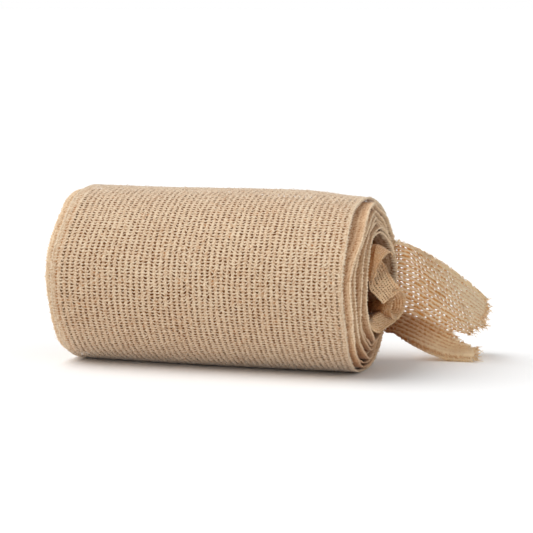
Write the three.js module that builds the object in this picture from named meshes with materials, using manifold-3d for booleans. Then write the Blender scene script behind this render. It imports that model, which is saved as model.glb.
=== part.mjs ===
// Crepe bandage roll: one strip of open-weave cloth, 100 mm wide, wound to a roll 56 mm across.
// Millimetres, +Z up. X runs along the roll, +X to the end that shows its turns, +Y to the back.
// The roll lies on z = 0 with the middle of its outer turn at x = 0.
import * as THREE from 'three';
import Module from 'manifold-3d';
import { mergeVertices } from 'three/addons/utils/BufferGeometryUtils.js';

const wasm = await Module();
wasm.setup();

// Roll: angles are in degrees from the top, growing over the back, so -90 is the front.
const AXIS_HEIGHT = 27.4;
const FRONT_RADIUS = 27.6;
const FRONT_ANGLE = -90;
const TURN_PITCH = 1.4;
const LAST_ANGLE = 146;
const FULL_TURN = 360;
const BACK_SQUEEZE = 0.98;
const CORE_RADIUS = 16.2;
const OUTER_THICKNESS = 1;
const TURN_THICKNESS = 0.85;

// The stretched outer turn is narrower than the turns under it.
const OUTER_HALF_WIDTH = 47;
const BODY_HALF_LENGTH = 45;
const TURN_LEFT = -50.2;
const TURN_LEFT_INNER = -48.4;
const TURN_PROUD = 1.5;
const TURN_PROUD_INNER = 4.2;
const FAR_SIDE_FLUSH = 0.75;

// Near the right end the turns sit lower from the front of the top round to the back.
const SLACK_START = 30;
const SLACK_FULL = 40;
const SLACK_DEPTH = 1.45;
const SLACK_FROM = -82;
const SLACK_TO = 164;
const EDGE_WAVE = 0.35;

// Core: a shallow hollow at each end, filled with folds of the crumpled inner end. The right end's
// folds stand RIGHT_PROUD further out than the left end's.
const HOLLOW_HALF_WIDTH = 13.6;
const HOLLOW_HALF_HEIGHT = 13;
const HOLLOW_DEPTH = 11;
const FOLD_THICKNESS = 1;
const RIGHT_PROUD = 2.6;
const LEFT_FOLDS_TURN = 140;

// Loose end: a sheet that comes out from under the outer turn at the back.
const SHEET_THICKNESS = 1;
const TUCK_THICKNESS = 0.9;
const TUCK_RADIUS = 26.7;
const TUCK_FROM = 66;
const TUCK_TO = 130;
const TUCK_START = 41.5;
const TUCK_FLAP = 6;
const FLAP_START = 47.8;
const FLAP_SHARE = 0.33;
const LAYER_GAP = 1.6;
const LAYER_GAP_START = 1.1;
const FRAY = 0.6;

const SEGMENTS_AROUND = 60;
const SEGMENTS_PER_INNER_TURN = 32;

const radians = THREE.MathUtils.degToRad;
const clamp = THREE.MathUtils.clamp;
const lerp = THREE.MathUtils.lerp;
const smooth = THREE.MathUtils.smoothstep;

// Radius of the strip's middle at a winding angle that grows outwards, one turn for each 360.
function spiralRadius(angle) {
  return FRONT_RADIUS + TURN_PITCH * (angle - FRONT_ANGLE) / FULL_TURN;
}

// How far the turns under the outer one are pushed in, from 0 to SLACK_DEPTH.
function slack(angle, x) {
  const turned = ((angle - SLACK_FROM) % FULL_TURN + FULL_TURN) % FULL_TURN + SLACK_FROM;
  const begun = smooth(turned, SLACK_FROM, SLACK_FROM + 45);
  const around = begun * (1 - smooth(turned, SLACK_TO - 25, SLACK_TO));
  return SLACK_DEPTH * around * smooth(x, SLACK_START, SLACK_FULL);
}

// The point of a roll section at an angle and a radius.
function rollPoint(angle, radius, x) {
  const a = radians(angle);
  const y = radius * Math.sin(a) * (Math.sin(a) > 0 ? BACK_SQUEEZE : 1);
  return new THREE.Vector3(x, y, AXIS_HEIGHT + radius * Math.cos(a));
}

// Right edge of the outer turn round the end: furthest out at the front, drawn in over the top and
// under the back. droop is how far that edge sinks towards the core.
const RIGHT_EDGE = [
  { angle: -180, x: 45.2, droop: 0.3 },
  { angle: -145, x: 46.4, droop: 0.1 },
  { angle: -90, x: 47.0, droop: 0 },
  { angle: -45, x: 47.0, droop: 0.1 },
  { angle: -12, x: 46.3, droop: 1.0 },
  { angle: 22, x: 46.0, droop: 2.1 },
  { angle: 48, x: 46.4, droop: 0.9 },
  { angle: 66, x: 46.7, droop: 0 },
  { angle: 98, x: 46.4, droop: 0 },
  { angle: 135, x: 44.9, droop: 0.1 },
  { angle: 180, x: 45.2, droop: 0.3 },
];

function rightEdge(angle, key) {
  const turned = ((angle + 180) % FULL_TURN + FULL_TURN) % FULL_TURN - 180;
  const i = RIGHT_EDGE.findIndex((row, k) => k > 0 && turned <= row.angle);
  const [p, q] = [RIGHT_EDGE[i - 1], RIGHT_EDGE[i]];
  return lerp(p[key], q[key], smooth(turned, p.angle, q.angle));
}

function linspace(from, to, count) {
  return Array.from({ length: count }, (_, i) => lerp(from, to, i / (count - 1)));
}

// A closed solid from two equal grids of points, the outer and the inner face of a wall.
function wallSolid(outer, inner) {
  const rows = outer.length;
  const cols = outer[0].length;
  const positions = [];
  for (const p of [outer, inner].flat(2)) positions.push(p.x, p.y, p.z);
  const at = (face, r, c) => face * rows * cols + r * cols + c;
  const index = [];
  const quad = (a, b, c, d) => index.push(a, b, c, a, c, d);
  for (let r = 0; r < rows - 1; r++) {
    for (let c = 0; c < cols - 1; c++) {
      quad(at(0, r, c), at(0, r + 1, c), at(0, r + 1, c + 1), at(0, r, c + 1));
      quad(at(1, r, c), at(1, r, c + 1), at(1, r + 1, c + 1), at(1, r + 1, c));
    }
    quad(at(0, r, 0), at(1, r, 0), at(1, r + 1, 0), at(0, r + 1, 0));
    quad(at(0, r, cols - 1), at(0, r + 1, cols - 1), at(1, r + 1, cols - 1), at(1, r, cols - 1));
  }
  for (let c = 0; c < cols - 1; c++) {
    quad(at(0, 0, c), at(0, 0, c + 1), at(1, 0, c + 1), at(1, 0, c));
    quad(at(0, rows - 1, c), at(1, rows - 1, c), at(1, rows - 1, c + 1), at(0, rows - 1, c + 1));
  }
  return toManifold(positions, index);
}

function toManifold(positions, index) {
  let geometry = new THREE.BufferGeometry();
  geometry.setAttribute('position', new THREE.Float32BufferAttribute(positions, 3));
  geometry.setIndex(index);
  geometry = mergeVertices(geometry, 1e-4);
  const make = (triangles) => new wasm.Manifold(new wasm.Mesh({
    numProp: 3,
    vertProperties: new Float32Array(geometry.attributes.position.array),
    triVerts: new Uint32Array(triangles),
  }));
  const triangles = Array.from(geometry.index.array);
  const solid = make(triangles);
  if (solid.volume() > 0) return solid;
  return make(triangles.reverse());
}

// Turns a sheet's middle surface into its two faces, half a thickness to each side.
function thicken(middle, thickness, lowest = 0) {
  const rows = middle.length;
  const cols = middle[0].length;
  const outer = [];
  const inner = [];
  for (let r = 0; r < rows; r++) {
    outer.push([]);
    inner.push([]);
    for (let c = 0; c < cols; c++) {
      const along = middle[Math.min(r + 1, rows - 1)][c].clone().sub(middle[Math.max(r - 1, 0)][c]);
      const across = middle[r][Math.min(c + 1, cols - 1)].clone().sub(middle[r][Math.max(c - 1, 0)]);
      const half = along.cross(across).setLength(thickness / 2);
      const raised = [middle[r][c].clone().add(half), middle[r][c].clone().sub(half)];
      for (const p of raised) p.z = Math.max(p.z, lowest);
      outer[r].push(raised[0]);
      inner[r].push(raised[1]);
    }
  }
  return wallSolid(outer, inner);
}

// The roll's body under the outer turn, with a step where the strip's last turn ends.
function bodySolid() {
  const angles = linspace(LAST_ANGLE - FULL_TURN, LAST_ANGLE, SEGMENTS_AROUND + 1);
  const stations = [-BODY_HALF_LENGTH, ...linspace(SLACK_START, SLACK_FULL, 3), BODY_HALF_LENGTH];
  const rim = angles.map((angle) => stations.map((x) => {
    const droop = rightEdge(angle, 'droop') * smooth(x, SLACK_START, SLACK_FULL);
    const radius = spiralRadius(angle) - droop - slack(angle, x) * (1 + OUTER_THICKNESS / SLACK_DEPTH);
    const p = rollPoint(angle, radius, x);
    p.z = Math.max(p.z, OUTER_THICKNESS / 2);
    return p;
  }));
  const positions = [];
  const index = [];
  const cols = stations.length;
  for (const p of rim.flat()) positions.push(p.x, p.y, p.z);
  for (const x of stations) positions.push(x, 0, AXIS_HEIGHT);
  const count = rim.length;
  const centre = (c) => count * cols + c;
  for (let r = 0; r < count; r++) {
    const next = (r + 1) % count;
    for (let c = 0; c < cols - 1; c++) {
      index.push(r * cols + c, next * cols + c, next * cols + c + 1);
      index.push(r * cols + c, next * cols + c + 1, r * cols + c + 1);
    }
    index.push(centre(0), next * cols, r * cols);
    index.push(centre(cols - 1), r * cols + cols - 1, next * cols + cols - 1);
  }
  return compact(positions, index);
}

// Drops the points that no triangle uses, then makes the solid.
function compact(positions, index) {
  const used = new Map();
  const kept = [];
  const remapped = index.map((i) => {
    if (!used.has(i)) {
      used.set(i, used.size);
      kept.push(positions[3 * i], positions[3 * i + 1], positions[3 * i + 2]);
    }
    return used.get(i);
  });
  return toManifold(kept, remapped);
}

// The outer turn, from under the strip's end round to that end.
function outerTurn() {
  const angles = linspace(LAST_ANGLE - FULL_TURN - 4, LAST_ANGLE, SEGMENTS_AROUND + 1);
  const stations = [-1, -0.93, -0.72, -0.4, 0, 0.4, 0.7, 0.86, 0.95, 1];
  const middle = angles.map((angle) => stations.map((s) => {
    const a = radians(angle);
    const wave = EDGE_WAVE * (Math.sin(3 * a + 0.6) + 0.6 * Math.sin(5 * a)) * s * s;
    const droop = rightEdge(angle, 'droop') * smooth(s, 0.5, 1);
    const sag = 0.25 * Math.sin(2.2 * s + 1.4 * a) * (1 - s * s);
    const x = s > 0 ? s * rightEdge(angle, 'x') + wave : s * OUTER_HALF_WIDTH + wave;
    const p = rollPoint(angle, spiralRadius(angle) - droop + sag, x);
    p.z = Math.max(p.z, OUTER_THICKNESS / 2);
    return p;
  }));
  return thicken(middle, OUTER_THICKNESS);
}

// The turns under the outer one, which stand proud of the body at both ends.
function innerTurns() {
  const outermost = LAST_ANGLE - FULL_TURN;
  const turns = (spiralRadius(outermost) - CORE_RADIUS) / TURN_PITCH;
  const count = Math.round(turns * SEGMENTS_PER_INNER_TURN) + 1;
  const angles = linspace(outermost - turns * FULL_TURN, outermost, count);
  const middle = angles.map((angle) => {
    const radius = spiralRadius(angle);
    const depth = clamp((spiralRadius(outermost) - radius) / (spiralRadius(outermost) - CORE_RADIUS), 0, 1);
    const a = radians(angle);
    const wave = EDGE_WAVE * Math.sin(2.3 * a + 0.8) + 0.2 * Math.sin(5.1 * a);
    const left = lerp(TURN_LEFT, TURN_LEFT_INNER, depth) + wave;
    const flush = FAR_SIDE_FLUSH * smooth(Math.sin(a), -0.5, 0.7);
    const proud = lerp(TURN_PROUD, TURN_PROUD_INNER, depth) * (1 - flush);
    const right = rightEdge(angle, 'x') + proud + wave;
    return [left, SLACK_START, SLACK_FULL, right].map((x) => {
      const droop = rightEdge(angle, 'droop') * smooth(x, SLACK_START, SLACK_FULL);
      const pushed = (slack(angle, x) + droop) * lerp(1, 0.4, depth);
      return rollPoint(angle, radius - pushed, x);
    });
  });
  return thicken(middle, TURN_THICKNESS, 0);
}

// The hollow core of one end: an oval pocket with soft dents.
function coreHollow(side) {
  const count = 28;
  const deep = side * (BODY_HALF_LENGTH - HOLLOW_DEPTH);
  const rings = [
    { x: deep, scale: 0.82 },
    { x: side * (BODY_HALF_LENGTH - 0.7 * HOLLOW_DEPTH), scale: 0.96 },
    { x: side * (BODY_HALF_LENGTH + 1), scale: 1 },
  ];
  const positions = [];
  const index = [];
  for (const ring of rings) {
    for (let i = 0; i < count; i++) {
      const a = 2 * Math.PI * i / count;
      const dent = ring.scale * (1 + 0.05 * Math.sin(2 * a + 0.5) + 0.04 * Math.sin(5 * a));
      const y = HOLLOW_HALF_WIDTH * dent * Math.sin(a);
      positions.push(ring.x, y, AXIS_HEIGHT + HOLLOW_HALF_HEIGHT * dent * Math.cos(a));
    }
  }
  const last = rings.length - 1;
  positions.push(rings[0].x, 0, AXIS_HEIGHT, rings[last].x, 0, AXIS_HEIGHT);
  const centre = rings.length * count;
  for (let i = 0; i < count; i++) {
    const j = (i + 1) % count;
    for (let r = 0; r < last; r++) {
      index.push(r * count + i, r * count + j, (r + 1) * count + j);
      index.push(r * count + i, (r + 1) * count + j, (r + 1) * count + i);
    }
    index.push(centre, j, i);
    index.push(centre + 1, last * count + i, last * count + j);
  }
  return toManifold(positions, index);
}

// The crumpled inner end in the right hollow. Each row is one step along a fold: rim is the point on
// the edge that shows, root the point in the core, and bend a fold between the two.
const CORE_FOLDS = {
  hairpin: [
    { rim: [50.4, -15.6, 22.5], root: [33, -13.5, 22.5] },
    { rim: [50.8, -12.6, 29.5], root: [33, -12.0, 28.5] },
    { rim: [51.0, -6.5, 33.4], root: [33, -7.0, 32.5] },
    { rim: [51.0, 1.9, 34.6], root: [33, 1.0, 34.0] },
    { rim: [51.2, 9.2, 35.9], root: [33, 7.0, 35.2] },
    { rim: [51.2, 10.4, 37.9], root: [33, 8.2, 37.0] },
    { rim: [50.8, 4.4, 38.9], root: [33, 3.5, 38.2] },
    { rim: [50.4, -5.6, 41.2], root: [33, -5.0, 40.0] },
    { rim: [50.0, -9.6, 41.4], root: [33, -9.5, 40.6] },
  ],
  strip: [
    { rim: [47.6, 2.6, 34.0], bend: [46.6, -5.5, 32.4], root: [38, -5.0, 32.2] },
    { rim: [48.8, 4.0, 33.2], bend: [47.2, -5.4, 30.2], root: [38, -5.0, 31.0] },
    { rim: [50.6, 6.4, 31.8], bend: [47.6, -4.6, 27.6], root: [38, -4.0, 30.0] },
    { rim: [52.2, 8.8, 28.4], bend: [48.6, -1.6, 24.4], root: [38, -1.0, 28.0] },
    { rim: [53.2, 11.2, 25.4], bend: [50.2, 3.0, 21.2], root: [40, 2.4, 25.0] },
  ],
  loop: [
    { rim: [52.6, 9.6, 24.8], root: [33, 8.0, 24.0] },
    { rim: [53.4, 13.4, 22.8], root: [33, 11.2, 22.4] },
    { rim: [53.6, 14.4, 19.0], root: [33, 11.4, 19.4] },
    { rim: [52.8, 11.4, 16.4], root: [33, 8.6, 17.0] },
    { rim: [51.8, 6.8, 15.8], root: [36, 4.6, 10.6] },
    { rim: [50.8, 4.6, 18.2], root: [36, 2.2, 10.8] },
    { rim: [50.8, 5.8, 21.0], root: [36, 4.0, 12.6] },
  ],
  apron: [
    { rim: [50.6, 5.2, 18.0], root: [38, 4.2, 12.4] },
    { rim: [50.4, 0.6, 15.8], root: [36, -0.6, 11.4] },
    { rim: [50.0, -5.4, 13.2], root: [36, -6.0, 11.0] },
    { rim: [49.4, -11.0, 12.4], root: [36, -11.0, 11.4] },
  ],
};

// A sheet through rows of rim, bend and root points, with smooth folds from row to row.
function foldedSheet(rows, stepsPerRow, stepsAcross) {
  const keys = ['root', 'bend', 'rim'].filter((key) => rows[0][key]);
  const curves = keys.map((key) => new THREE.CatmullRomCurve3(
    rows.map((row) => new THREE.Vector3(...row[key])), false, 'centripetal'));
  const steps = (rows.length - 1) * stepsPerRow;
  const middle = linspace(0, 1, steps + 1).map((t) => {
    const points = curves.map((curve) => curve.getPoint(t));
    const spans = points.slice(1).map((p, i) => linspace(0, 1, stepsAcross + 1).slice(1).map(
      (s) => points[i].clone().lerp(p, s)));
    return [points[0], ...spans.flat()];
  });
  return thicken(middle, FOLD_THICKNESS);
}

// The same folds seen from the left end, turned round the roll's axis.
function leftFold(fold) {
  return fold.translate([-RIGHT_PROUD, 0, -AXIS_HEIGHT]).mirror([1, 0, 0]).rotate([LEFT_FOLDS_TURN, 0, 0])
    .translate([0, 0, AXIS_HEIGHT]);
}

function rollSolid() {
  let solid = bodySolid().add(outerTurn()).add(innerTurns());
  solid = solid.subtract(coreHollow(1)).subtract(coreHollow(-1));
  for (const rows of Object.values(CORE_FOLDS)) {
    const fold = foldedSheet(rows, 3, 2);
    solid = solid.add(fold).add(leftFold(fold));
  }
  return withoutPockets(solid);
}

// Fills the small sealed pockets between turns: an inside-out shell is the wall of one.
function withoutPockets(solid) {
  return solid.decompose().filter((shell) => shell.volume() > 0).reduce((all, shell) => all.add(shell));
}

// Loose end: one row for each station along X. Each section runs from the top selvage to the
// bottom fold as a Bezier curve with the handles high and low; flap is the width turned under.
const TAIL_SECTIONS = [
  tuckedSection(TUCK_START),
  tuckedSection(FLAP_START),
  { x: 52, top: [28.6, 36.4], high: [37.0, 26.0], low: [38.0, 13.0], fold: [22.6, 8.2], flap: 10 },
  { x: 58, top: [30.2, 33.1], high: [41.0, 21.0], low: [50.0, 5.5], fold: [25.6, 4.2], flap: 13 },
  { x: 64, top: [31.0, 29.5], high: [42.0, 16.0], low: [60.0, 1.0], fold: [27.6, 2.3], flap: 15 },
  { x: 70, top: [30.8, 25.3], high: [42.0, 12.0], low: [64.0, 0.6], fold: [28.4, 2.2], flap: 16 },
  { x: 77, top: [29.8, 19.9], high: [40.0, 8.0], low: [66.0, 0.6], fold: [28.6, 2.2], flap: 16 },
];

// A section that lies on the round of the roll, as a Bezier curve close to that arc.
function tuckedSection(x) {
  const handle = 4 / 3 * Math.tan(radians(TUCK_TO - TUCK_FROM) / 4) * TUCK_RADIUS;
  const along = (angle) => new THREE.Vector3(0, Math.cos(radians(angle)), -Math.sin(radians(angle)));
  const top = rollPoint(TUCK_FROM, TUCK_RADIUS, x);
  const fold = rollPoint(TUCK_TO, TUCK_RADIUS, x);
  const high = top.clone().addScaledVector(along(TUCK_FROM), handle);
  const low = fold.clone().addScaledVector(along(TUCK_TO), -handle);
  const pair = (p) => [p.y, p.z];
  return { x, top: pair(top), high: pair(high), low: pair(low), fold: pair(fold), flap: TUCK_FLAP };
}

// A column of the table at any x: a smooth curve through its rows that never overshoots them.
function sectionValue(x, read) {
  const rows = TAIL_SECTIONS;
  const last = rows.length - 1;
  let i = rows.findIndex((row, k) => k > 0 && x <= row.x);
  if (i < 0) i = last;
  const secant = (k) => (read(rows[k]) - read(rows[k - 1])) / (rows[k].x - rows[k - 1].x);
  const slope = (k) => {
    const before = secant(Math.max(k, 1));
    const after = secant(Math.min(k + 1, last));
    return before * after > 0 ? 2 * before * after / (before + after) : 0;
  };
  const span = rows[i].x - rows[i - 1].x;
  const t = (x - rows[i - 1].x) / span;
  const [p, q] = [read(rows[i - 1]), read(rows[i])];
  const [m, n] = [slope(i - 1) * span, slope(i) * span];
  return (2 * t ** 3 - 3 * t ** 2 + 1) * p + (t ** 3 - 2 * t ** 2 + t) * m
    + (3 * t ** 2 - 2 * t ** 3) * q + (t ** 3 - t ** 2) * n;
}

function tailCurve(x) {
  const at = (key, k) => sectionValue(x, (row) => row[key][k]);
  const point = (key) => new THREE.Vector3(x, at(key, 0), at(key, 1));
  return new THREE.CubicBezierCurve3(point('top'), point('high'), point('low'), point('fold'));
}

// A place on the front layer, lifted where the flap under it lies on the floor.
function frontPoint(x, across) {
  const p = tailCurve(x).getPoint(across);
  p.z = Math.max(p.z, SHEET_THICKNESS / 2 + LAYER_GAP);
  return p;
}

// The cut end, in rows from the top selvage to the bottom fold, with a notch between two lobes.
const CUT_END = [
  { across: 0, x: 75.6 },
  { across: 0.03, x: 76.6 },
  { across: 0.07, x: 76.3 },
  { across: 0.18, x: 75.3 },
  { across: 0.35, x: 71.4 },
  { across: 0.44, x: 71.4 },
  { across: 0.55, x: 68.5 },
  { across: 0.62, x: 66.3 },
  { across: 0.665, x: 61.0 },
  { across: 0.71, x: 62.6 },
  { across: 0.77, x: 65.2 },
  { across: 0.81, x: 69.4 },
  { across: 0.93, x: 71.6 },
  { across: 1, x: 73.0 },
];

function endOf(across) {
  const i = Math.max(1, CUT_END.findIndex((row) => across <= row.across + 1e-6));
  const [p, q] = [CUT_END[i - 1], CUT_END[i]];
  const frayed = FRAY * Math.sin(31 * across + 1) + 0.7 * FRAY * Math.sin(53 * across);
  return lerp(p.x, q.x, clamp((across - p.across) / (q.across - p.across), 0, 1)) + frayed;
}

// Where the strand at a place ends: the flap under the sheet ends just short of the cut end above it.
function strandEnd(place) {
  const under = Math.max(place - 2, 0);
  return endOf(Math.min(place, 1) - FLAP_SHARE * under) - Math.min(4 * under, 1);
}

// One strand along the sheet: from the front layer round the bottom fold into the flap under it.
function foldedPoint(x, place) {
  if (place <= 1) return frontPoint(x, place);
  const gap = lerp(LAYER_GAP_START, LAYER_GAP, smooth(x, FLAP_START, FLAP_START + 6));
  const curve = tailCurve(x);
  const flap = sectionValue(x, (row) => row.flap) / curve.getLength();
  const across = 1 - Math.max(place - 2, 0) * flap;
  const along = curve.getTangent(across);
  const outwards = new THREE.Vector3(0, -along.z, along.y);
  const turn = Math.PI * Math.min(place - 1, 1);
  const p = frontPoint(x, across);
  p.addScaledVector(outwards, gap / 2 * (1 - Math.cos(turn)));
  p.addScaledVector(along, gap / 2 * Math.sin(turn));
  p.z = Math.max(p.z, SHEET_THICKNESS / 2);
  return p;
}

function looseEnd() {
  const cuts = CUT_END.map((row) => row.across);
  const front = cuts.flatMap((across, i) => i ? [(cuts[i - 1] + across) / 2, across] : [across]);
  const places = [...front, ...linspace(1, 2, 5).slice(1), ...linspace(2, 3, 9).slice(1)];
  const free = linspace(0, 1, 22).map((u) => places.map(
    (place) => foldedPoint(lerp(FLAP_START, strandEnd(place), u), place)));
  const tucked = linspace(TUCK_START, FLAP_START + 1, 6).map(
    (x) => front.map((across) => frontPoint(x, across)));
  return thicken(free, SHEET_THICKNESS).add(thicken(tucked, TUCK_THICKNESS));
}

function meshOf(name, solid, color) {
  const data = solid.getMesh();
  const geometry = new THREE.BufferGeometry();
  const positions = new Float32Array(data.numVert * 3);
  for (let i = 0; i < data.numVert; i++) {
    for (let k = 0; k < 3; k++) positions[3 * i + k] = data.vertProperties[i * data.numProp + k];
  }
  geometry.setAttribute('position', new THREE.BufferAttribute(positions, 3));
  geometry.setIndex(new THREE.BufferAttribute(new Uint32Array(data.triVerts), 1));
  geometry.computeVertexNormals();
  const material = new THREE.MeshStandardMaterial({ color, roughness: 0.95, metalness: 0 });
  const mesh = new THREE.Mesh(geometry, material);
  mesh.name = name;
  return mesh;
}

const group = new THREE.Group();
group.add(meshOf('roll', rollSolid(), 0xd8b896));
group.add(meshOf('loose_end', withoutPockets(looseEnd()), 0xcda780));

export default group;
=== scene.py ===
"""Crepe bandage roll: one woven strip, wound up, with a crumpled core and a frayed loose end.

Sizes are millimetres until a mesh is written, and angles round the roll are degrees from its top
that grow over the back, so -90 is the front. X runs along the roll, Y to the back, Z up.
"""

import logging
import math
from collections.abc import Callable
from dataclasses import dataclass
from enum import Enum

import bmesh
import bpy
import numpy as np
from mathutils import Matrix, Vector


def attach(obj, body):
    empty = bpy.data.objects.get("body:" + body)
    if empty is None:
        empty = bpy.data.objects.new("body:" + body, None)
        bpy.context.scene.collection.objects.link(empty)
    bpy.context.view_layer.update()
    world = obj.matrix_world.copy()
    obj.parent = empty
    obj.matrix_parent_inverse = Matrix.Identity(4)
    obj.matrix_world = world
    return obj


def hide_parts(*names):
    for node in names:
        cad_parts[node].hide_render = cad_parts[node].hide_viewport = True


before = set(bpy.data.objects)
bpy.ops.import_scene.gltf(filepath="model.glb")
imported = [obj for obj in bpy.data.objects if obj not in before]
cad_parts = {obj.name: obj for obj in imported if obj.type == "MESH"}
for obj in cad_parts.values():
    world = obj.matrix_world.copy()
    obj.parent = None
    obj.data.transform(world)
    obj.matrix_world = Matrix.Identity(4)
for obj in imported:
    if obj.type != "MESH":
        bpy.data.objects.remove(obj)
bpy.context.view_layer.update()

LOG = logging.getLogger("crepe_bandage_roll")
MM = 0.001
BODY = "root"
ROLL = "roll"
LOOSE_END = "loose_end"
FULL_TURN = 360.0
# Half the distance over which a surface's slope is read
PROBE = 0.05
# The least lengths that a direction and a curve's bends are worked out from
TINY = 1e-12
LEAST_GAP = 1e-4
# How far the knots of a soft random field spread, and how far before its end it is last read
BUMP_SPREAD = 0.6
LAST_KNOT = 1.001
# The middle of a noise, and the lightest tone
NOISE_MEAN = 0.5
FULL_TONE = 1.25
# How many loose fibres each piece has
OUTER_FUZZ = 2200
INNER_FUZZ = 1500
FOLD_FUZZ = 50
TAIL_FUZZ = 1200

# What a sheet asks of its own places, across and along: a point, a value or a yes or no for each
ClothField = Callable[[np.ndarray, np.ndarray], np.ndarray]
Span = tuple[float, float]


def smooth(x: np.ndarray | float, low: float, high: float) -> np.ndarray:
    """Rise softly from 0 at low to 1 at high."""
    t = np.clip((np.asarray(x, float) - low) / (high - low), 0.0, 1.0)
    return t * t * (3.0 - 2.0 * t)


def hump(x: np.ndarray, rise: Span, fall: Span) -> np.ndarray:
    """Rise softly from 0 to 1 over one span and fall back over another."""
    return smooth(x, *rise) * (1.0 - smooth(x, *fall))


def wrapped(angle: np.ndarray, low: float) -> np.ndarray:
    """Bring angles into the full turn that starts at low."""
    return np.mod(angle - low, FULL_TURN) + low


def lerp(a: np.ndarray | float, b: np.ndarray | float, t: np.ndarray | float) -> np.ndarray:
    """Mix a and b, from a at t = 0 to b at t = 1."""
    return a + (b - a) * t


def unit(vectors: np.ndarray) -> np.ndarray:
    """Scale the vectors in the last axis to length 1."""
    length = np.linalg.norm(vectors, axis=-1, keepdims=True)
    return vectors / np.maximum(length, TINY)


def wander(rng: np.random.Generator, shape: tuple[int, int], spacing: Span) -> np.ndarray:
    """Make a soft random field over a grid, from -1 to 1 or so.

    Args:
        rng: Where the numbers come from.
        shape: Rows and columns of the grid.
        spacing: How many rows and columns lie between two bumps.

    Returns:
        One value for each point of the grid.
    """
    coarse = [max(2, int(n / s) + 2) for n, s in zip(shape, spacing)]
    knots = rng.normal(0.0, BUMP_SPREAD, coarse)
    for axis in (0, 1):
        place = np.linspace(0.0, coarse[axis] - LAST_KNOT, shape[axis])
        below = place.astype(int)
        share = smooth(place - below, 0.0, 1.0)
        low = np.take(knots, below, axis=axis)
        high = np.take(knots, below + 1, axis=axis)
        share = share[:, None] if axis == 0 else share[None, :]
        knots = lerp(low, high, share)
    return knots


def written(bm: bmesh.types.BMesh, name: str) -> bpy.types.Mesh:
    """Write a bmesh into a new mesh.

    Args:
        bm: The bmesh, which is freed.
        name: The mesh's name.

    Returns:
        The mesh.
    """
    mesh = bpy.data.meshes.new(name)
    bm.to_mesh(mesh)
    bm.free()
    return mesh


def set_values(mesh: bpy.types.Mesh, name: str, values: np.ndarray) -> None:
    """Give a mesh one value for each point, under a name that its material reads."""
    attribute = mesh.attributes.new(name, "FLOAT", "POINT")
    attribute.data.foreach_set("value", values.astype(np.float32))


def add_piece(mesh: bpy.types.Mesh, material: bpy.types.Material) -> bpy.types.Object:
    """Put a mesh in the scene as a piece that rides on the roll's body.

    Args:
        mesh: The mesh, whose name the piece takes.
        material: Its finish.

    Returns:
        The piece.
    """
    mesh.materials.clear()
    mesh.materials.append(material)
    mesh.shade_smooth()
    piece = bpy.data.objects.new(mesh.name, mesh)
    bpy.context.scene.collection.objects.link(piece)
    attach(piece, BODY)
    return piece


class Socket:
    """One output of a shader node, with arithmetic that adds Math nodes."""

    def __init__(self, maker: "NodeMaker", output: bpy.types.NodeSocket) -> None:
        """Keep the output and the maker of its material."""
        self.maker = maker
        self.output = output

    def _math(self, operation: str, first: "Socket | float", second: "Socket | float") -> "Socket":
        """Join two values through one Math node."""
        return self.maker.add("ShaderNodeMath", {"operation": operation}, {0: first, 1: second})

    def __add__(self, other: "Socket | float") -> "Socket":
        """Add a value."""
        return self._math("ADD", self, other)

    def __radd__(self, other: float) -> "Socket":
        """Add to a value."""
        return self._math("ADD", other, self)

    def __sub__(self, other: "Socket | float") -> "Socket":
        """Take a value away."""
        return self._math("SUBTRACT", self, other)

    def __rsub__(self, other: float) -> "Socket":
        """Take away from a value."""
        return self._math("SUBTRACT", other, self)

    def __mul__(self, other: "Socket | float") -> "Socket":
        """Multiply by a value."""
        return self._math("MULTIPLY", self, other)

    def __rmul__(self, other: float) -> "Socket":
        """Multiply a value."""
        return self._math("MULTIPLY", other, self)


class NodeMaker:
    """Adds the nodes of one material or world."""

    def __init__(self, tree: bpy.types.NodeTree) -> None:
        """Start from an empty tree."""
        self.tree = tree
        tree.nodes.clear()

    def add(
        self,
        kind: str,
        settings: dict[str, object] | None = None,
        values: dict[str | int, object] | None = None,
        output: str | int = 0,
    ) -> Socket:
        """Add a node.

        Args:
            kind: The node's type.
            settings: Its properties, which are set first. A ramp's stops are given as stops.
            values: A number, colour or Socket for each input, by name or place.
            output: The output that is wanted, by name or place.

        Returns:
            That output.
        """
        node = self.tree.nodes.new(kind)
        for name, value in (settings or {}).items():
            if name == "stops":
                self._set_stops(node, value)
            else:
                setattr(node, name, value)
        for name, value in (values or {}).items():
            if isinstance(value, Socket):
                self.tree.links.new(value.output, node.inputs[name])
            else:
                node.inputs[name].default_value = value
        return Socket(self, node.outputs[output] if node.outputs else None)

    def _set_stops(self, node: bpy.types.Node, stops: list[tuple[float, tuple]]) -> None:
        """Give a colour ramp its stops.

        Args:
            node: The ramp.
            stops: The place and the colour of each stop.
        """
        elements = node.color_ramp.elements
        while len(elements) < len(stops):
            elements.new(1.0)
        for element, (place, colour) in zip(elements, stops):
            element.position = place
            element.color = colour

    def mix_colour(self, share: Socket, low: object, high: object) -> Socket:
        """Mix two colours or Sockets, from low at a share of 0 to high at 1."""
        return self.add("ShaderNodeMix", {"data_type": "RGBA"}, {0: share, 6: low, 7: high}, output=2)

    def mix_shader(self, share: Socket | float, low: Socket, high: Socket) -> Socket:
        """Mix two shaders, from low at a share of 0 to high at 1."""
        return self.add("ShaderNodeMixShader", None, {0: share, 1: low, 2: high})

    def noise(self, where: Socket, scale: float, detail: float, roughness: float) -> Socket:
        """Add a noise from 0 to 1, with its scale in bumps to the metre and finer noises in it."""
        values = {"Vector": where, "Scale": scale, "Detail": detail, "Roughness": roughness}
        return self.add("ShaderNodeTexNoise", {"noise_dimensions": "3D"}, values)


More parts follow.
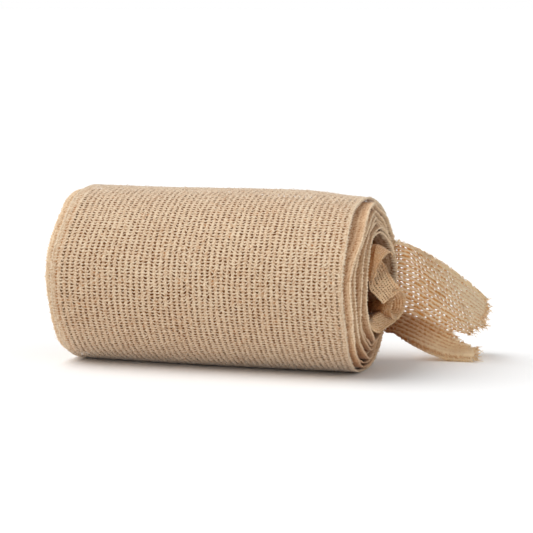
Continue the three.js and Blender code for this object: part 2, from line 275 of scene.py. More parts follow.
@dataclass(frozen=True)
class CrepeFinish:
    """Undyed cotton crepe: light on the ribs' tops, with painted shade that makes it browner in the holes
    and where other cloth covers it.

    One attribute paints its shade: from none at 0, to the shade under other cloth at 1, and to the
    deep shade in the roll at 2.
    """

    name: str
    crest: tuple[float, float, float] = (0.775, 0.615, 0.43)
    valley: tuple[float, float, float] = (0.39, 0.155, 0.04)
    # Painted shade: the colours of cloth under other cloth, and deep in the roll
    shade_crest: tuple[float, float, float] = (0.52, 0.235, 0.078)
    shade_valley: tuple[float, float, float] = (0.27, 0.075, 0.014)
    deep_shade: tuple[float, float, float] = (0.19, 0.055, 0.014)
    roughness: float = 0.92
    sheen: float = 0.45
    through: float = 0.0
    fibres_per_mm: float = 2.7
    patch_mm: float = 9.0
    patch_strength: float = 0.05
    relief_mm: float = 0.10
    fleck_strength: float = 1.75

    def material(self) -> bpy.types.Material:
        """Build the finish.

        Returns:
            A material that reads the cloth's own tone attribute and Object coordinates.
        """
        material = bpy.data.materials.new(self.name)
        material.use_nodes = True
        maker = NodeMaker(material.node_tree)
        where = maker.add("ShaderNodeTexCoord", output="Object")
        tone = maker.add("ShaderNodeAttribute", {"attribute_name": "tone"}, output="Fac")
        cover = maker.add("ShaderNodeAttribute", {"attribute_name": "cover"}, output="Fac")
        fibres = maker.noise(where, scale=self.fibres_per_mm / MM, detail=3.0, roughness=0.65)
        patches = maker.noise(where, scale=1.0 / (self.patch_mm * MM), detail=2.0, roughness=0.5)
        flecks = (fibres - NOISE_MEAN) * self.fleck_strength
        lit = tone + flecks + (patches - NOISE_MEAN) * self.patch_strength
        share = maker.add("ShaderNodeClamp", None, {"Value": lit})
        yarn = maker.mix_colour(share, (*self.valley, 1.0), (*self.crest, 1.0))
        # Painted shade: towards the shade colours under other cloth, and darker still deep in the roll
        under = maker.add("ShaderNodeClamp", None, {"Value": cover})
        deep = maker.add("ShaderNodeClamp", None, {"Value": cover - 1.0})
        brown = maker.mix_colour(share, (*self.shade_valley, 1.0), (*self.shade_crest, 1.0))
        deep_shaded = maker.mix_colour(deep, brown, (*self.deep_shade, 1.0))
        colour = maker.mix_colour(under, yarn, deep_shaded)
        relief = {"Strength": 0.9, "Distance": self.relief_mm * MM, "Height": fibres}
        bump = maker.add("ShaderNodeBump", None, relief)
        surface = maker.add(
            "ShaderNodeBsdfPrincipled",
            None,
            {
                "Base Color": colour,
                "Roughness": self.roughness,
                "Specular IOR Level": 0.15,
                "Sheen Weight": self.sheen,
                "Sheen Roughness": 0.5,
                "Normal": bump,
            },
        )
        if self.through > 0.0:
            glow = self._glow(maker, share, under, deep, bump)
            surface = maker.mix_shader(self.through, surface, glow)
        maker.add("ShaderNodeOutputMaterial", None, {"Surface": surface})
        return material

    def _glow(self, maker: NodeMaker, share: Socket, under: Socket, deep: Socket, bump: Socket) -> Socket:
        """Build the light that comes through the cloth, in the colours that its surface has.

        Every colour has a shader of its own, so that what changes over the cloth only mixes shaders.

        Args:
            maker: Adds the nodes.
            share: How light the yarn is.
            under: How much painted shade the cloth has.
            deep: How much of it is the deeper painted shade of the roll.
            bump: The relief of its fibres.

        Returns:
            The shader.
        """
        colours = (self.valley, self.crest, self.shade_valley, self.shade_crest, self.deep_shade)
        valley, crest, shaded_valley_glow, shaded_crest_glow, deep_shade = (
            maker.add("ShaderNodeBsdfTranslucent", None, {"Color": (*colour, 1.0), "Normal": bump})
            for colour in colours
        )
        yarn = maker.mix_shader(share, valley, crest)
        brown = maker.mix_shader(share, shaded_valley_glow, shaded_crest_glow)
        return maker.mix_shader(under, yarn, maker.mix_shader(deep, brown, deep_shade))


# Copies of one cloth: the brighter crests of crepe_inner, crepe_thin and crepe_folded are painted light,
# and crepe_in_shade is painted shade
FINISHES = (
    CrepeFinish("crepe"),
    CrepeFinish("crepe_inner", crest=(0.88, 0.70, 0.485), sheen=0.15),
    CrepeFinish("crepe_thin", crest=(1.0, 0.86, 0.63), valley=(0.58, 0.24, 0.04), through=0.6),
    CrepeFinish("crepe_folded", crest=(1.0, 0.74, 0.45), valley=(0.55, 0.20, 0.05), sheen=0.15),
    CrepeFinish("crepe_in_shade", crest=(0.30, 0.13, 0.05), valley=(0.15, 0.055, 0.018)),
)


@dataclass(frozen=True)
class FloorFinish:
    """Plain matt white paper."""

    colour: tuple[float, float, float] = (0.95, 0.95, 0.95)

    def material(self) -> bpy.types.Material:
        """Build the finish.

        Returns:
            A material without a pattern.
        """
        material = bpy.data.materials.new("white_paper")
        material.use_nodes = True
        maker = NodeMaker(material.node_tree)
        values = {"Base Color": (*self.colour, 1.0), "Roughness": 1.0, "Specular IOR Level": 0.0}
        paper = maker.add("ShaderNodeBsdfPrincipled", None, values)
        maker.add("ShaderNodeOutputMaterial", None, {"Surface": paper})
        return material


class Part(Enum):
    """What one line of points along the cloth belongs to."""

    RIB_EDGE = "edge of a rib"
    CROWN = "top of a rib"
    GAP = "middle of a column of holes"
    PLAIN = "cloth between the woven columns that never shows"
    CURL = "selvage that turns under"


@dataclass(frozen=True)
class Line:
    """One line of points that runs along the cloth.

    across is its place on the cloth, height how far it stands off the cloth's middle, and reach how
    far it stands out sideways past its place. shade is how much darker it is.
    """

    across: float
    part: Part
    height: float
    reach: float = 0.0
    closed: bool = False
    shade: float = 0.0


@dataclass(frozen=True)
class Weave:
    """Open crepe weave: ribs along the strip, with a column of small holes between each two.

    A bar is the stretch of a column between two holes. Heights are over the cloth's middle, and tones
    run from 0, dark, to 1, light; the tones paint shade on the rib edges, beside the holes and in the
    shut holes. smile and slant are how far the bars bow and tilt, and tick and tick_back how far a
    turned-under selvage stands out at a bar and back at a hole.
    """

    rib_share: float = 0.5
    row_pitch: float = 1.0
    bar_share: float = 0.52
    bar_levels: tuple[float, ...] = (0.0, 0.5, 1.0)
    crown: float = 0.48
    crown_sink: float = 0.14
    rib_edge: float = 0.2
    bar: float = 0.2
    bar_round: float = 0.2
    dent: float = 0.22
    smile: float = 0.16
    slant: float = 0.15
    selvage_radius: float = 0.36
    selvage_step: float = 0.3
    tick: float = 0.8
    tick_back: float = 0.5
    curl_steps: int = 3
    tuck: float = 0.8
    crown_tone: float = 0.86
    crown_dip: float = 0.14
    edge_tone: float = 0.78
    edge_dip: float = 0.2
    gap_tone: float = 0.46
    bar_tone: float = 0.54
    shut_tone: float = 0.5
    plain_tone: float = 0.4
    curl_tone: float = 1.0
    curl_light: float = 0.15
    curl_dark: float = 0.2

    def columns(
        self,
        start: float,
        end: float,
        count: int,
        closed: tuple[int, int],
        sign: int = 1,
        shade: float = 0.0,
    ) -> list[Line]:
        """Lay out ribs and columns of holes between two places.

        Args:
            start: Where the first rib starts.
            end: Where the last rib ends.
            count: How many columns of holes there are.
            closed: How many of them, from the start and from the end, have no holes.
            sign: 1 for the cloth's upper face, -1 for its lower face.
            shade: How much darker the columns of holes are.

        Returns:
            The lines from start to end.
        """
        pitch = (end - start) / (count + self.rib_share)
        rib = self.rib_share * pitch
        lines: list[Line] = []
        for k in range(count + 1):
            left = start + k * pitch
            shut_before, shut_after = (i < closed[0] or i >= count - closed[1] for i in (k - 1, k))
            lines.append(Line(left, Part.RIB_EDGE, sign * self.rib_edge, closed=shut_before))
            lines.append(Line(left + rib / 2, Part.CROWN, sign * self.crown))
            lines.append(Line(left + rib, Part.RIB_EDGE, sign * self.rib_edge, closed=shut_after))
            if k < count:
                middle = left + (rib + pitch) / 2
                lines.append(Line(middle, Part.GAP, sign * self.bar, closed=shut_after, shade=shade))
        return lines

    def curl(self, edge: float, side: int) -> list[Line]:
        """Round a selvage and turn it under.

        Args:
            edge: Where the cloth ends.
            side: 1 for a right selvage, -1 for a left one.

        Returns:
            The lines from the upper face to the lower one.
        """
        r = self.selvage_radius
        lines: list[Line] = []
        for k in range(self.curl_steps + 1):
            turn = math.pi * k / self.curl_steps
            lines.append(Line(edge, Part.CURL, r * math.cos(turn), side * r * math.sin(turn)))
        return lines

    def under(self, edge: float, side: int) -> Line:
        """The line where the turned-under selvage ends."""
        return Line(edge, Part.CURL, -self.selvage_radius, -side * self.tuck)

    def with_selvages(self, low: float, high: float, woven: list[Line]) -> list[Line]:
        """Put a turned-under selvage before and after the woven lines, at low and at high."""
        before = [self.under(low, -1), *reversed(self.curl(low, -1))]
        return [*before, *woven, *self.curl(high, 1), self.under(high, 1)]


@dataclass(frozen=True)
class Unevenness:
    """How a woven sheet strays from an even grid.

    A spacing is how many rows and lines lie between two bumps, a play is a random spread, and a share
    or a pull scales what it is named for.
    """

    shut_spacing: Span = (14.0, 16.0)
    hole_widths: Span = (0.6, 1.1)
    even_hole: float = 0.8
    rib_pull: float = 0.2
    bar_pull: float = 0.5
    sway_spacing: Span = (30.0, 13.0)
    ripple_spacing: Span = (9.0, 6.0)
    ripple_share: float = 0.5
    drift_spacing: Span = (30.0, 9.0)
    drift_share: float = 0.8
    jitter_share: float = 0.7
    crown_play: float = 0.05
    tick_play: float = 0.2
    tone_play: float = 0.17
    tone_spacing: Span = (40.0, 20.0)
    tone_share: float = 0.05


@dataclass(frozen=True)
class WovenSheet:
    """A sheet of open weave over a curved surface, made as one mesh with its holes cut through.

    Its grid has one column of points for each line, and for each row of holes one level of points for
    each of the weave's bar_levels.
    """

    name: str
    lines: list[Line]
    rows: int
    length: float
    surface: ClothField
    seed: int
    sway: float = 0.24
    jitter: float = 0.09
    edge_play: float = 0.35
    shut_share: float = 0.10
    shut_growth: float = 0.0
    # Painted light and painted shade, as values over the sheet
    painted_lightening: ClothField | None = None
    cover: ClothField | None = None
    shown: ClothField | None = None
    weave: Weave = Weave()
    uneven: Unevenness = Unevenness()

    def build(self, material: bpy.types.Material) -> bpy.types.Object:
        """Make the mesh.

        Args:
            material: The cloth's finish.

        Returns:
            The sheet as a piece of the scene.
        """
        rng = np.random.default_rng(self.seed)
        columns = len(self.lines)
        per_row = len(self.weave.bar_levels)
        level = np.arange(per_row * (self.rows + 1))
        row, step = level // per_row, level % per_row
        shut = self.shut_share + self.shut_growth * np.linspace(0.0, 1.0, self.rows)[:, None]
        patchy = shut * (1.0 + wander(rng, (self.rows, columns), self.uneven.shut_spacing))
        open_hole = rng.random((self.rows, columns)) > patchy
        loose = rng.uniform(*self.uneven.hole_widths, (self.rows, columns))
        mesh = self._grid(columns, len(level))
        across, along = self._places(rng, row, step, loose)
        height, tone, reach = self._relief(rng, row, step, open_hole)
        self._write(mesh, across, along, height, reach, tone)
        self._cut(mesh, self._hole_faces(open_hole), across, along)
        return add_piece(mesh, material)

    def _grid(self, columns: int, levels: int) -> bpy.types.Mesh:
        """Start from a flat grid.

        Args:
            columns: How many points it has across.
            levels: How many points it has along.

        Returns:
            The grid, its points in rows from the first level to the last.
        """
        bm = bmesh.new()
        bmesh.ops.create_grid(bm, x_segments=columns - 1, y_segments=levels - 1, size=1.0)
        return written(bm, self.name)

    def _cut(self, mesh: bpy.types.Mesh, holes: np.ndarray, across: np.ndarray, along: np.ndarray) -> None:
        """Cut the holes out, and what lies past the cloth's ends.

        Args:
            mesh: The cloth, changed in place.
            holes: The numbers of the faces that are holes.
            across: Each point's place across.
            along: Each point's place along.
        """
        bm = bmesh.new()
        bm.from_mesh(mesh)
        bm.faces.ensure_lookup_table()
        cut = {bm.faces[i] for i in holes}
        if self.shown:
            there = self.shown(across, along)
            cut.update(face for face in bm.faces if not all(there[v.index] for v in face.verts))
        bmesh.ops.delete(bm, geom=list(cut), context="FACES")
        bm.to_mesh(mesh)
        bm.free()

    def _hole_columns(self) -> np.ndarray:
        """For each step between two lines, whether a column of holes lies there."""
        pairs = zip(self.lines, self.lines[1:])
        return np.array([Part.GAP in (a.part, b.part) and not (a.closed or b.closed) for a, b in pairs])

    def _hole_faces(self, open_hole: np.ndarray) -> np.ndarray:
        """Find the grid's faces that are holes.

        Args:
            open_hole: Which holes are open, one for each row and line.

        Returns:
            The faces' numbers.
        """
        steps = np.flatnonzero(self._hole_columns())
        gap = np.array([s if self.lines[s].part is Part.GAP else s + 1 for s in steps], int)
        rows, picks = np.nonzero(open_hole[:, gap])
        per_row = len(self.weave.bar_levels)
        return (per_row * rows + per_row - 1) * (len(self.lines) - 1) + steps[picks]

    def _holding(self, part: Part) -> np.ndarray:
        """For each line, whether it belongs to the part."""
        return np.array([line.part is part for line in self.lines])

    def _hole_sides(self, row: np.ndarray, step: np.ndarray) -> tuple[np.ndarray, np.ndarray]:
        """Find the holes next to each level.

        Args:
            row: The row of each level.
            step: The level's place in its row.

        Returns:
            The row of holes that each level borders, and 1 below a hole or -1 above one.
        """
        last = len(self.weave.bar_levels) - 1
        side = np.where(step == last, 1.0, np.where(step == 0, -1.0, 0.0))
        return np.clip(np.where(step == 0, row - 1, row), 0, self.rows - 1), side

    def _places(
        self, rng: np.random.Generator, row: np.ndarray, step: np.ndarray, loose: np.ndarray
    ) -> tuple[np.ndarray, np.ndarray]:
        """Where each point lies on the cloth, with the weave's unevenness.

        Args:
            rng: Where the numbers come from.
            row: The row of each level.
            step: The level's place in its row.
            loose: How wide each hole is drawn.

        Returns:
            The places across and along, one for each point.
        """
        uneven, weave = self.uneven, self.weave
        pitch = self.length / (self.rows + weave.bar_share)
        bar = weave.bar_share * pitch
        hole = pitch - bar
        base = row * pitch + np.array(weave.bar_levels)[step] * bar
        along = np.repeat(base[:, None], len(self.lines), axis=1)
        across = np.tile([line.across for line in self.lines], (len(row), 1))
        gap, rib = self._holding(Part.GAP), self._holding(Part.RIB_EDGE)
        hole_row, side = self._hole_sides(row, step)
        side = side[:, None]
        drawn = (loose[hole_row] - uneven.even_hole) * uneven.bar_pull
        along = along + rib * side * uneven.rib_pull * hole - gap * side * drawn * hole
        along = along - gap * weave.smile
        slant = gap * rng.normal(0.0, weave.slant, (self.rows + 1, len(self.lines)))[row]
        along = along + np.roll(slant, 1, axis=1) - np.roll(slant, -1, axis=1)
        free = np.where(self._holding(Part.CURL), self.edge_play, 1.0)
        sway = wander(rng, across.shape, uneven.sway_spacing)
        sway = sway + uneven.ripple_share * wander(rng, across.shape, uneven.ripple_spacing)
        across = across + self.sway * free * sway
        along = along + uneven.drift_share * self.sway * wander(rng, across.shape, uneven.drift_spacing)
        across = across + self.jitter * free * rng.normal(0.0, 1.0, across.shape)
        along = along + uneven.jitter_share * self.jitter * rng.normal(0.0, 1.0, across.shape)
        return across.ravel(), along.ravel()

    def _relief(
        self, rng: np.random.Generator, row: np.ndarray, step: np.ndarray, open_hole: np.ndarray
    ) -> tuple[np.ndarray, np.ndarray, np.ndarray]:
        """How far each point stands off the cloth, how light it is, and how far it stands out sideways.

        Args:
            rng: Where the numbers come from.
            row: The row of each level.
            step: The level's place in its row.
            open_hole: Which holes are open.

        Returns:
            The heights, the tones and the reaches, one for each point.
        """
        uneven, weave = self.uneven, self.weave
        tones = {
            Part.CROWN: weave.crown_tone,
            Part.RIB_EDGE: weave.edge_tone,
            Part.GAP: weave.gap_tone,
            Part.PLAIN: weave.plain_tone,
            Part.CURL: weave.curl_tone,
        }
        height = np.tile([line.height for line in self.lines], (len(row), 1)).astype(float)
        tone = np.tile([tones[line.part] - line.shade for line in self.lines], (len(row), 1))
        reach = np.tile([line.reach for line in self.lines], (len(row), 1)).astype(float)
        crown, gap, curl = (self._holding(part) for part in (Part.CROWN, Part.GAP, Part.CURL))
        shut_column = np.array([line.closed for line in self.lines])
        upright = np.sign(height) + (height == 0)
        hole_row, side = self._hole_sides(row, step)
        # A bar of two levels has no middle, so its first level is its top
        on_bar = (side <= 0.0 if len(weave.bar_levels) < 3 else side == 0.0)[:, None]
        height += upright * gap * on_bar * weave.bar_round
        # Painted shade: the crowns and rib edges are darker beside the holes, and the bars brighter
        tone += gap * on_bar * weave.bar_tone
        height -= upright * crown * ~on_bar * weave.crown_sink
        tone -= crown * ~on_bar * weave.crown_dip + self._holding(Part.RIB_EDGE) * ~on_bar * weave.edge_dip
        height -= upright * crown * np.abs(rng.normal(0.0, uneven.crown_play, height.shape))
        # Painted shade: a shut hole is dented and painted dark
        shut = gap & ~on_bar & (shut_column | ~open_hole[hole_row])
        height -= upright * shut * weave.dent
        tone -= shut * weave.shut_tone
        tick = np.where(on_bar, weave.tick, -weave.tick_back * weave.tick)
        reach *= 1.0 + curl * (tick + rng.normal(0.0, uneven.tick_play, reach.shape))
        tone += curl * np.where(on_bar, weave.curl_light, -weave.curl_dark)
        specks = rng.normal(0.0, uneven.tone_play, tone.shape)
        tone += specks + uneven.tone_share * wander(rng, tone.shape, uneven.tone_spacing)
        return height.ravel(), np.clip(tone, 0.0, FULL_TONE).ravel(), reach.ravel()

    def _write(
        self,
        mesh: bpy.types.Mesh,
        across: np.ndarray,
        along: np.ndarray,
        height: np.ndarray,
        reach: np.ndarray,
        tone: np.ndarray,
    ) -> None:
        """Move the grid onto the surface and give it its UV map and attributes.

        Args:
            mesh: The flat grid.
            across: Each point's place across.
            along: Each point's place along.
            height: How far it stands off the cloth's middle.
            reach: How far it stands out sideways.
            tone: How light it is.
        """
        places = [line.across for line in self.lines]
        on = np.clip(across, min(places), max(places))
        spill = across - on
        middle = self.surface(on, along)
        lateral = unit(self.surface(on + PROBE, along) - self.surface(on - PROBE, along))
        forward = self.surface(on, along + PROBE) - self.surface(on, along - PROBE)
        normal = unit(np.cross(lateral, forward))
        points = middle + normal * height[:, None] + lateral * (reach + spill)[:, None]
        mesh.vertices.foreach_set("co", (points * MM).astype(np.float32).ravel())
        corner = np.zeros(len(mesh.loops), np.int32)
        mesh.loops.foreach_get("vertex_index", corner)
        uv = np.stack([across + reach, along], axis=1)[corner] * MM
        layer = mesh.uv_layers.new(name="cloth")
        layer.data.foreach_set("uv", uv.astype(np.float32).ravel())
        # Painted light goes into the tone, and painted shade into an attribute of its own
        set_values(mesh, "tone", tone + self.painted_lightening(on, along) if self.painted_lightening else tone)
        set_values(mesh, "cover", self.cover(on, along) if self.cover else np.zeros(len(on)))
        mesh.update()


@dataclass(frozen=True)
class Winding:
    """The line that the strip follows round the roll.

    The slack is how far the turns under the outer one are pushed in near the right end. The three
    edge_ rows belong together: an angle, the outer turn's right selvage there, and how far it droops.
    """

    axis_height: float = 27.4
    front_radius: float = 27.6
    front_angle: float = -90.0
    pitch: float = 1.4
    last_angle: float = 146.0
    back_squeeze: float = 0.98
    core_radius: float = 16.37
    slack_depth: float = 1.45
    slack_angles: tuple[Span, Span] = ((-82.0, -37.0), (139.0, 164.0))
    slack_span: Span = (30.0, 40.0)
    edge_angles: tuple[float, ...] = (-180, -145, -90, -45, -12, 22, 48, 66, 98, 135, 180)
    edge_places: tuple[float, ...] = (45.2, 46.4, 47.0, 47.0, 46.3, 46.0, 46.4, 46.7, 46.4, 44.9, 45.2)
    edge_droops: tuple[float, ...] = (0.3, 0.1, 0.0, 0.1, 1.0, 2.1, 0.9, 0.0, 0.0, 0.1, 0.3)

    def radius(self, angle: np.ndarray | float) -> np.ndarray:
        """Radius of the strip's middle at a winding angle that grows outwards."""
        return self.front_radius + self.pitch * (np.asarray(angle) - self.front_angle) / FULL_TURN

    def point(self, angle: np.ndarray, radius: np.ndarray, x: np.ndarray) -> np.ndarray:
        """The point of a roll section at an angle and a radius.

        Args:
            angle: Degrees from the top.
            radius: Distance from the roll's axis.
            x: Place along the roll.

        Returns:
            One point for each angle.
        """
        a = np.radians(angle)
        y = radius * np.sin(a) * np.where(np.sin(a) > 0.0, self.back_squeeze, 1.0)
        return np.stack([x, y, self.axis_height + radius * np.cos(a)], axis=-1)

    def slack(self, angle: np.ndarray, x: np.ndarray) -> np.ndarray:
        """How far the turns under the outer one are pushed in at an angle and a place along the roll."""
        around = hump(wrapped(angle, self.slack_angles[0][0]), *self.slack_angles)
        return self.slack_depth * around * smooth(x, *self.slack_span)

    def right_edge(self, angle: np.ndarray) -> tuple[np.ndarray, np.ndarray]:
        """The outer turn's right edge round the end.

        Args:
            angle: Degrees from the top.

        Returns:
            Where the edge is along the roll, and how far it sinks towards the core.
        """
        turned = wrapped(angle, self.edge_angles[0])
        stops = np.array(self.edge_angles, float)
        i = np.clip(np.searchsorted(stops, turned, side="left"), 1, len(stops) - 1)
        t = smooth((turned - stops[i - 1]) / (stops[i] - stops[i - 1]), 0.0, 1.0)
        places, droops = np.array(self.edge_places), np.array(self.edge_droops)
        return lerp(places[i - 1], places[i], t), lerp(droops[i - 1], droops[i], t)


@dataclass(frozen=True)
class OuterTurn:
    """The turn that shows: a little narrower than the others, with its end turned under at the back.

    bulge_span and low_span are cosines of the angle from the bulge and from the bottom. droop_span is
    a share of the half width.
    """

    winding: Winding
    half_width: float = 47.0
    half_thickness: float = 0.5
    overlap: float = 4.0
    bulge: float = 2.3
    bulge_angle: float = -115.0
    bulge_span: Span = (0.3, 0.9)
    waves: int = 3
    wave: float = 0.35
    wave_shift: float = 0.6
    ripples: int = 5
    ripple_share: float = 0.6
    sag: float = 0.25
    sag_across: float = 2.2
    sag_round: float = 1.4
    droop_span: Span = (0.5, 1.0)
    ribs: int = 51
    shut_left: int = 1
    end_inset: float = 2.2
    end_angles: Span = (100.0, 146.0)
    fold_radius: float = 0.45
    tucked: float = 3.0
    # Painted shade, a little round the lower half
    painted_low_shade: float = 0.09
    low_span: Span = (-0.1, 0.4)
    seed: int = 11

    @property
    def first_angle(self) -> float:
        """Where the turn starts, under its own end."""
        return self.winding.last_angle - FULL_TURN - self.overlap

    @property
    def degrees_per_mm(self) -> float:
        """How far round the roll a millimetre of strip goes."""
        return math.degrees(1.0 / float(self.winding.radius(0.0)))

    @property
    def length(self) -> float:
        """Length of the strip in this turn, without the end that is turned under."""
        return (self.winding.last_angle - self.first_angle) / self.degrees_per_mm

    def surface(self, across: np.ndarray, along: np.ndarray) -> np.ndarray:
        """The middle of the cloth.

        Args:
            across: Place across the strip, 0 at its middle.
            along: Place along it, from its start under the end.

        Returns:
            One point for each place.
        """
        past = np.maximum(along - self.length, 0.0)
        angle = self.first_angle + np.minimum(along, self.length) * self.degrees_per_mm
        a = np.radians(angle)
        s = across / self.half_width
        edge, droop = self.winding.right_edge(angle)
        ripple = self.ripple_share * np.sin(self.ripples * a)
        wave = self.wave * (np.sin(self.waves * a + self.wave_shift) + ripple) * s * s
        sag = self.sag * np.sin(self.sag_across * s + self.sag_round * a) * (1.0 - s * s)
        inset = self.end_inset * smooth(angle, *self.end_angles)
        bulge = self.bulge * smooth(np.cos(a - math.radians(self.bulge_angle)), *self.bulge_span)
        x = np.where(s > 0.0, s * (edge - inset), s * (self.half_width + bulge)) + wave
        turn = np.minimum(past / self.fold_radius, math.pi)
        back = self.fold_radius * np.sin(turn) - np.maximum(past - math.pi * self.fold_radius, 0.0)
        sunk = self.fold_radius * (1.0 - np.cos(turn))
        radius = self.winding.radius(angle) - droop * smooth(s, *self.droop_span) + sag - sunk
        points = self.winding.point(angle + back * self.degrees_per_mm, radius, x)
        points[:, 2] = np.maximum(points[:, 2], self.half_thickness)
        return points

    def browned(self, across: np.ndarray, along: np.ndarray) -> np.ndarray:
        """How much painted shade the cloth has: a little, round the lower half."""
        angle = self.first_angle + along * self.degrees_per_mm
        return self.painted_low_shade * smooth(-np.cos(np.radians(angle)), *self.low_span)

    def build(self, material: bpy.types.Material) -> bpy.types.Object:
        """Make the turn.

        Args:
            material: The cloth's finish.

        Returns:
            The turn, which stands in for the roll part that it hides.
        """
        weave = Weave(row_pitch=1.02, selvage_radius=0.42, curl_steps=2, curl_tone=1.2, bar_tone=0.6)
        edge = self.half_width - weave.selvage_radius
        first = edge - weave.selvage_step
        woven = weave.columns(-first, first, self.ribs, (self.shut_left, 0))
        full = self.length + math.pi * self.fold_radius + self.tucked
        turn = WovenSheet(
            "outer_turn",
            weave.with_selvages(-edge, edge, woven),
            round(full / weave.row_pitch),
            full,
            self.surface,
            self.seed,
            sway=0.19,
            edge_play=0.9,
            shut_share=0.04,
            cover=self.browned,
            weave=weave,
        ).build(material)
        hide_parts(ROLL)
        flat = (2 * self.half_width * MM, full * MM)
        return turn


@dataclass(frozen=True)
class InnerTurns:
    """The turns under the outer one, which stand proud of it at both ends.

    A depth is 0 at the outermost turn and 1 at the core. Fields that end in _depth are spans of it,
    those in _angles are spans round the roll, those in _span are places across the strip, and
    dark_lengths are shares of the strip's length.
    """

    winding: Winding
    half_width: float = 50.0
    lowest: float = 0.45
    woven: float = 40.0
    pitch: float = 1.85
    left_columns: int = 3
    left_shade: float = 0.12
    right_columns: int = 4
    right_shade: float = 0.2
    plain_height: float = 0.2
    waves: float = 2.3
    wave: float = 0.35
    wave_shift: float = 0.8
    ripples: float = 5.1
    ripple: float = 0.2
    left: float = -51.5
    left_inner: float = -48.8
    left_top: float = 1.0
    left_top_cosines: Span = (0.3, 0.95)
    proud: float = 1.5
    proud_inner: float = 4.6
    proud_high: float = 1.7
    high_angles: tuple[Span, Span] = ((-86.0, -50.0), (-12.0, 20.0))
    high_depth: Span = (0.0, 0.6)
    flush: float = 0.6
    flush_sines: Span = (-0.5, 0.7)
    flush_depth: Span = (0.55, 0.95)
    sunk: float = 1.3
    sunk_depth: Span = (0.02, 0.12)
    risen: float = 0.9
    risen_angles: Span = (-50.0, 0.0)
    least_slack: float = 0.4
    slack_depth: Span = (0.0, 0.6)
    droop_depth: Span = (0.0, 0.7)
    # Painted shade: under the outer turn, half as much beside its right edge, low on the right end, at the
    # left band and most near the core
    cover: float = 0.9
    hidden_share: float = 1.05
    crescent_share: float = 0.5
    crescent_span: Span = (44.0, 46.2)
    rim_span: Span = (49.2, 49.9)
    painted_band_shade: float = 0.14
    band_span: Span = (-47.0, -44.5)
    painted_low_shade: float = 0.4
    low_angles: tuple[Span, Span] = ((100.0, 140.0), (205.0, 245.0))
    low_span: Span = (44.5, 46.5)
    painted_core_shade: float = 0.9
    dark_span: Span = (40.0, 48.0)
    dark_lengths: Span = (0.45, 0.7)
    seed: int = 23

    @property
    def outermost(self) -> float:
        """Where these turns go on from the outer one."""
        return self.winding.last_angle - FULL_TURN

    @property
    def innermost(self) -> float:
        """Winding angle of the strip at the core."""
        depth = float(self.winding.radius(self.outermost)) - self.winding.core_radius
        return self.outermost - depth / self.winding.pitch * FULL_TURN

    def arc(self, samples: int = 2000) -> tuple[np.ndarray, np.ndarray]:
        """Measure the strip from the core outwards.

        Args:
            samples: How many places it is read at.

        Returns:
            The strip's length up to each place, and the winding angle there.
        """
        angles = np.linspace(self.innermost, self.outermost, samples)
        steps = np.radians(np.diff(angles)) * self.winding.radius(angles[1:])
        return np.concatenate([[0.0], np.cumsum(steps)]), angles

    def ends(self, angle: np.ndarray, depth: np.ndarray) -> tuple[np.ndarray, np.ndarray]:
        """Find both selvages along the roll.

        Args:
            angle: The winding angle.
            depth: How deep the turn lies.

        Returns:
            The places of the left and of the right selvage.
        """
        a = np.radians(angle)
        wave = self.wave * np.sin(self.waves * a + self.wave_shift)
        wave = wave + self.ripple * np.sin(self.ripples * a)
        top = self.left_top * smooth(np.cos(a), *self.left_top_cosines)
        left = lerp(self.left, self.left_inner, depth) + top + wave
        edge, _ = self.winding.right_edge(angle)
        flush = self.flush * smooth(np.sin(a), *self.flush_sines)
        flush = flush * (1.0 - smooth(depth, *self.flush_depth))
        right = edge + lerp(self.proud, self.proud_inner, depth) * (1.0 - flush) + wave
        every_other = 0.5 + 0.5 * np.cos(a / 2.0 + math.pi / 4.0)
        right = right - self.sunk * every_other * smooth(depth, *self.sunk_depth)
        high = hump(wrapped(angle, self.winding.front_angle), *self.high_angles)
        return left, right + self.proud_high * high * (1.0 - smooth(depth, *self.high_depth))

    def pushed_in(self, angle: np.ndarray, depth: np.ndarray, x: np.ndarray) -> np.ndarray:
        """How far the turns give way under the outer one's lifted edge.

        Args:
            angle: The winding angle.
            depth: How deep the turn lies.
            x: Place along the roll.

        Returns:
            The distance towards the axis.
        """
        risen = 1.0 - self.risen * smooth(wrapped(angle, self.winding.front_angle), *self.risen_angles)
        share = lerp(risen, self.least_slack, smooth(depth, *self.slack_depth))
        _, droop = self.winding.right_edge(angle)
        drooped = droop * smooth(x, *self.winding.slack_span) * (1.0 - smooth(depth, *self.droop_depth))
        return self.winding.slack(angle, x) * share + drooped

    def surface(self, across: np.ndarray, along: np.ndarray) -> np.ndarray:
        """The middle of the cloth.

        Args:
            across: Place across the strip, 0 at its middle.
            along: Place along it, from the core outwards.

        Returns:
            One point for each place.
        """
        lengths, angles = self.arc()
        slope = (angles[-1] - angles[-2]) / (lengths[-1] - lengths[-2])
        angle = np.interp(along, lengths, angles) + np.maximum(along - lengths[-1], 0.0) * slope
        angle = angle + np.minimum(along, 0.0) * slope
        rim = float(self.winding.radius(self.outermost))
        radius = self.winding.radius(angle)
        depth = np.clip((rim - radius) / (rim - self.winding.core_radius), 0.0, 1.0)
        left, right = self.ends(angle, depth)
        share = smooth(across, -self.woven, self.woven)
        x = lerp(left + across + self.half_width, right + across - self.half_width, share)
        points = self.winding.point(angle, radius - self.pushed_in(angle, depth, x), x)
        points[:, 2] = np.maximum(points[:, 2], self.lowest)
        return points

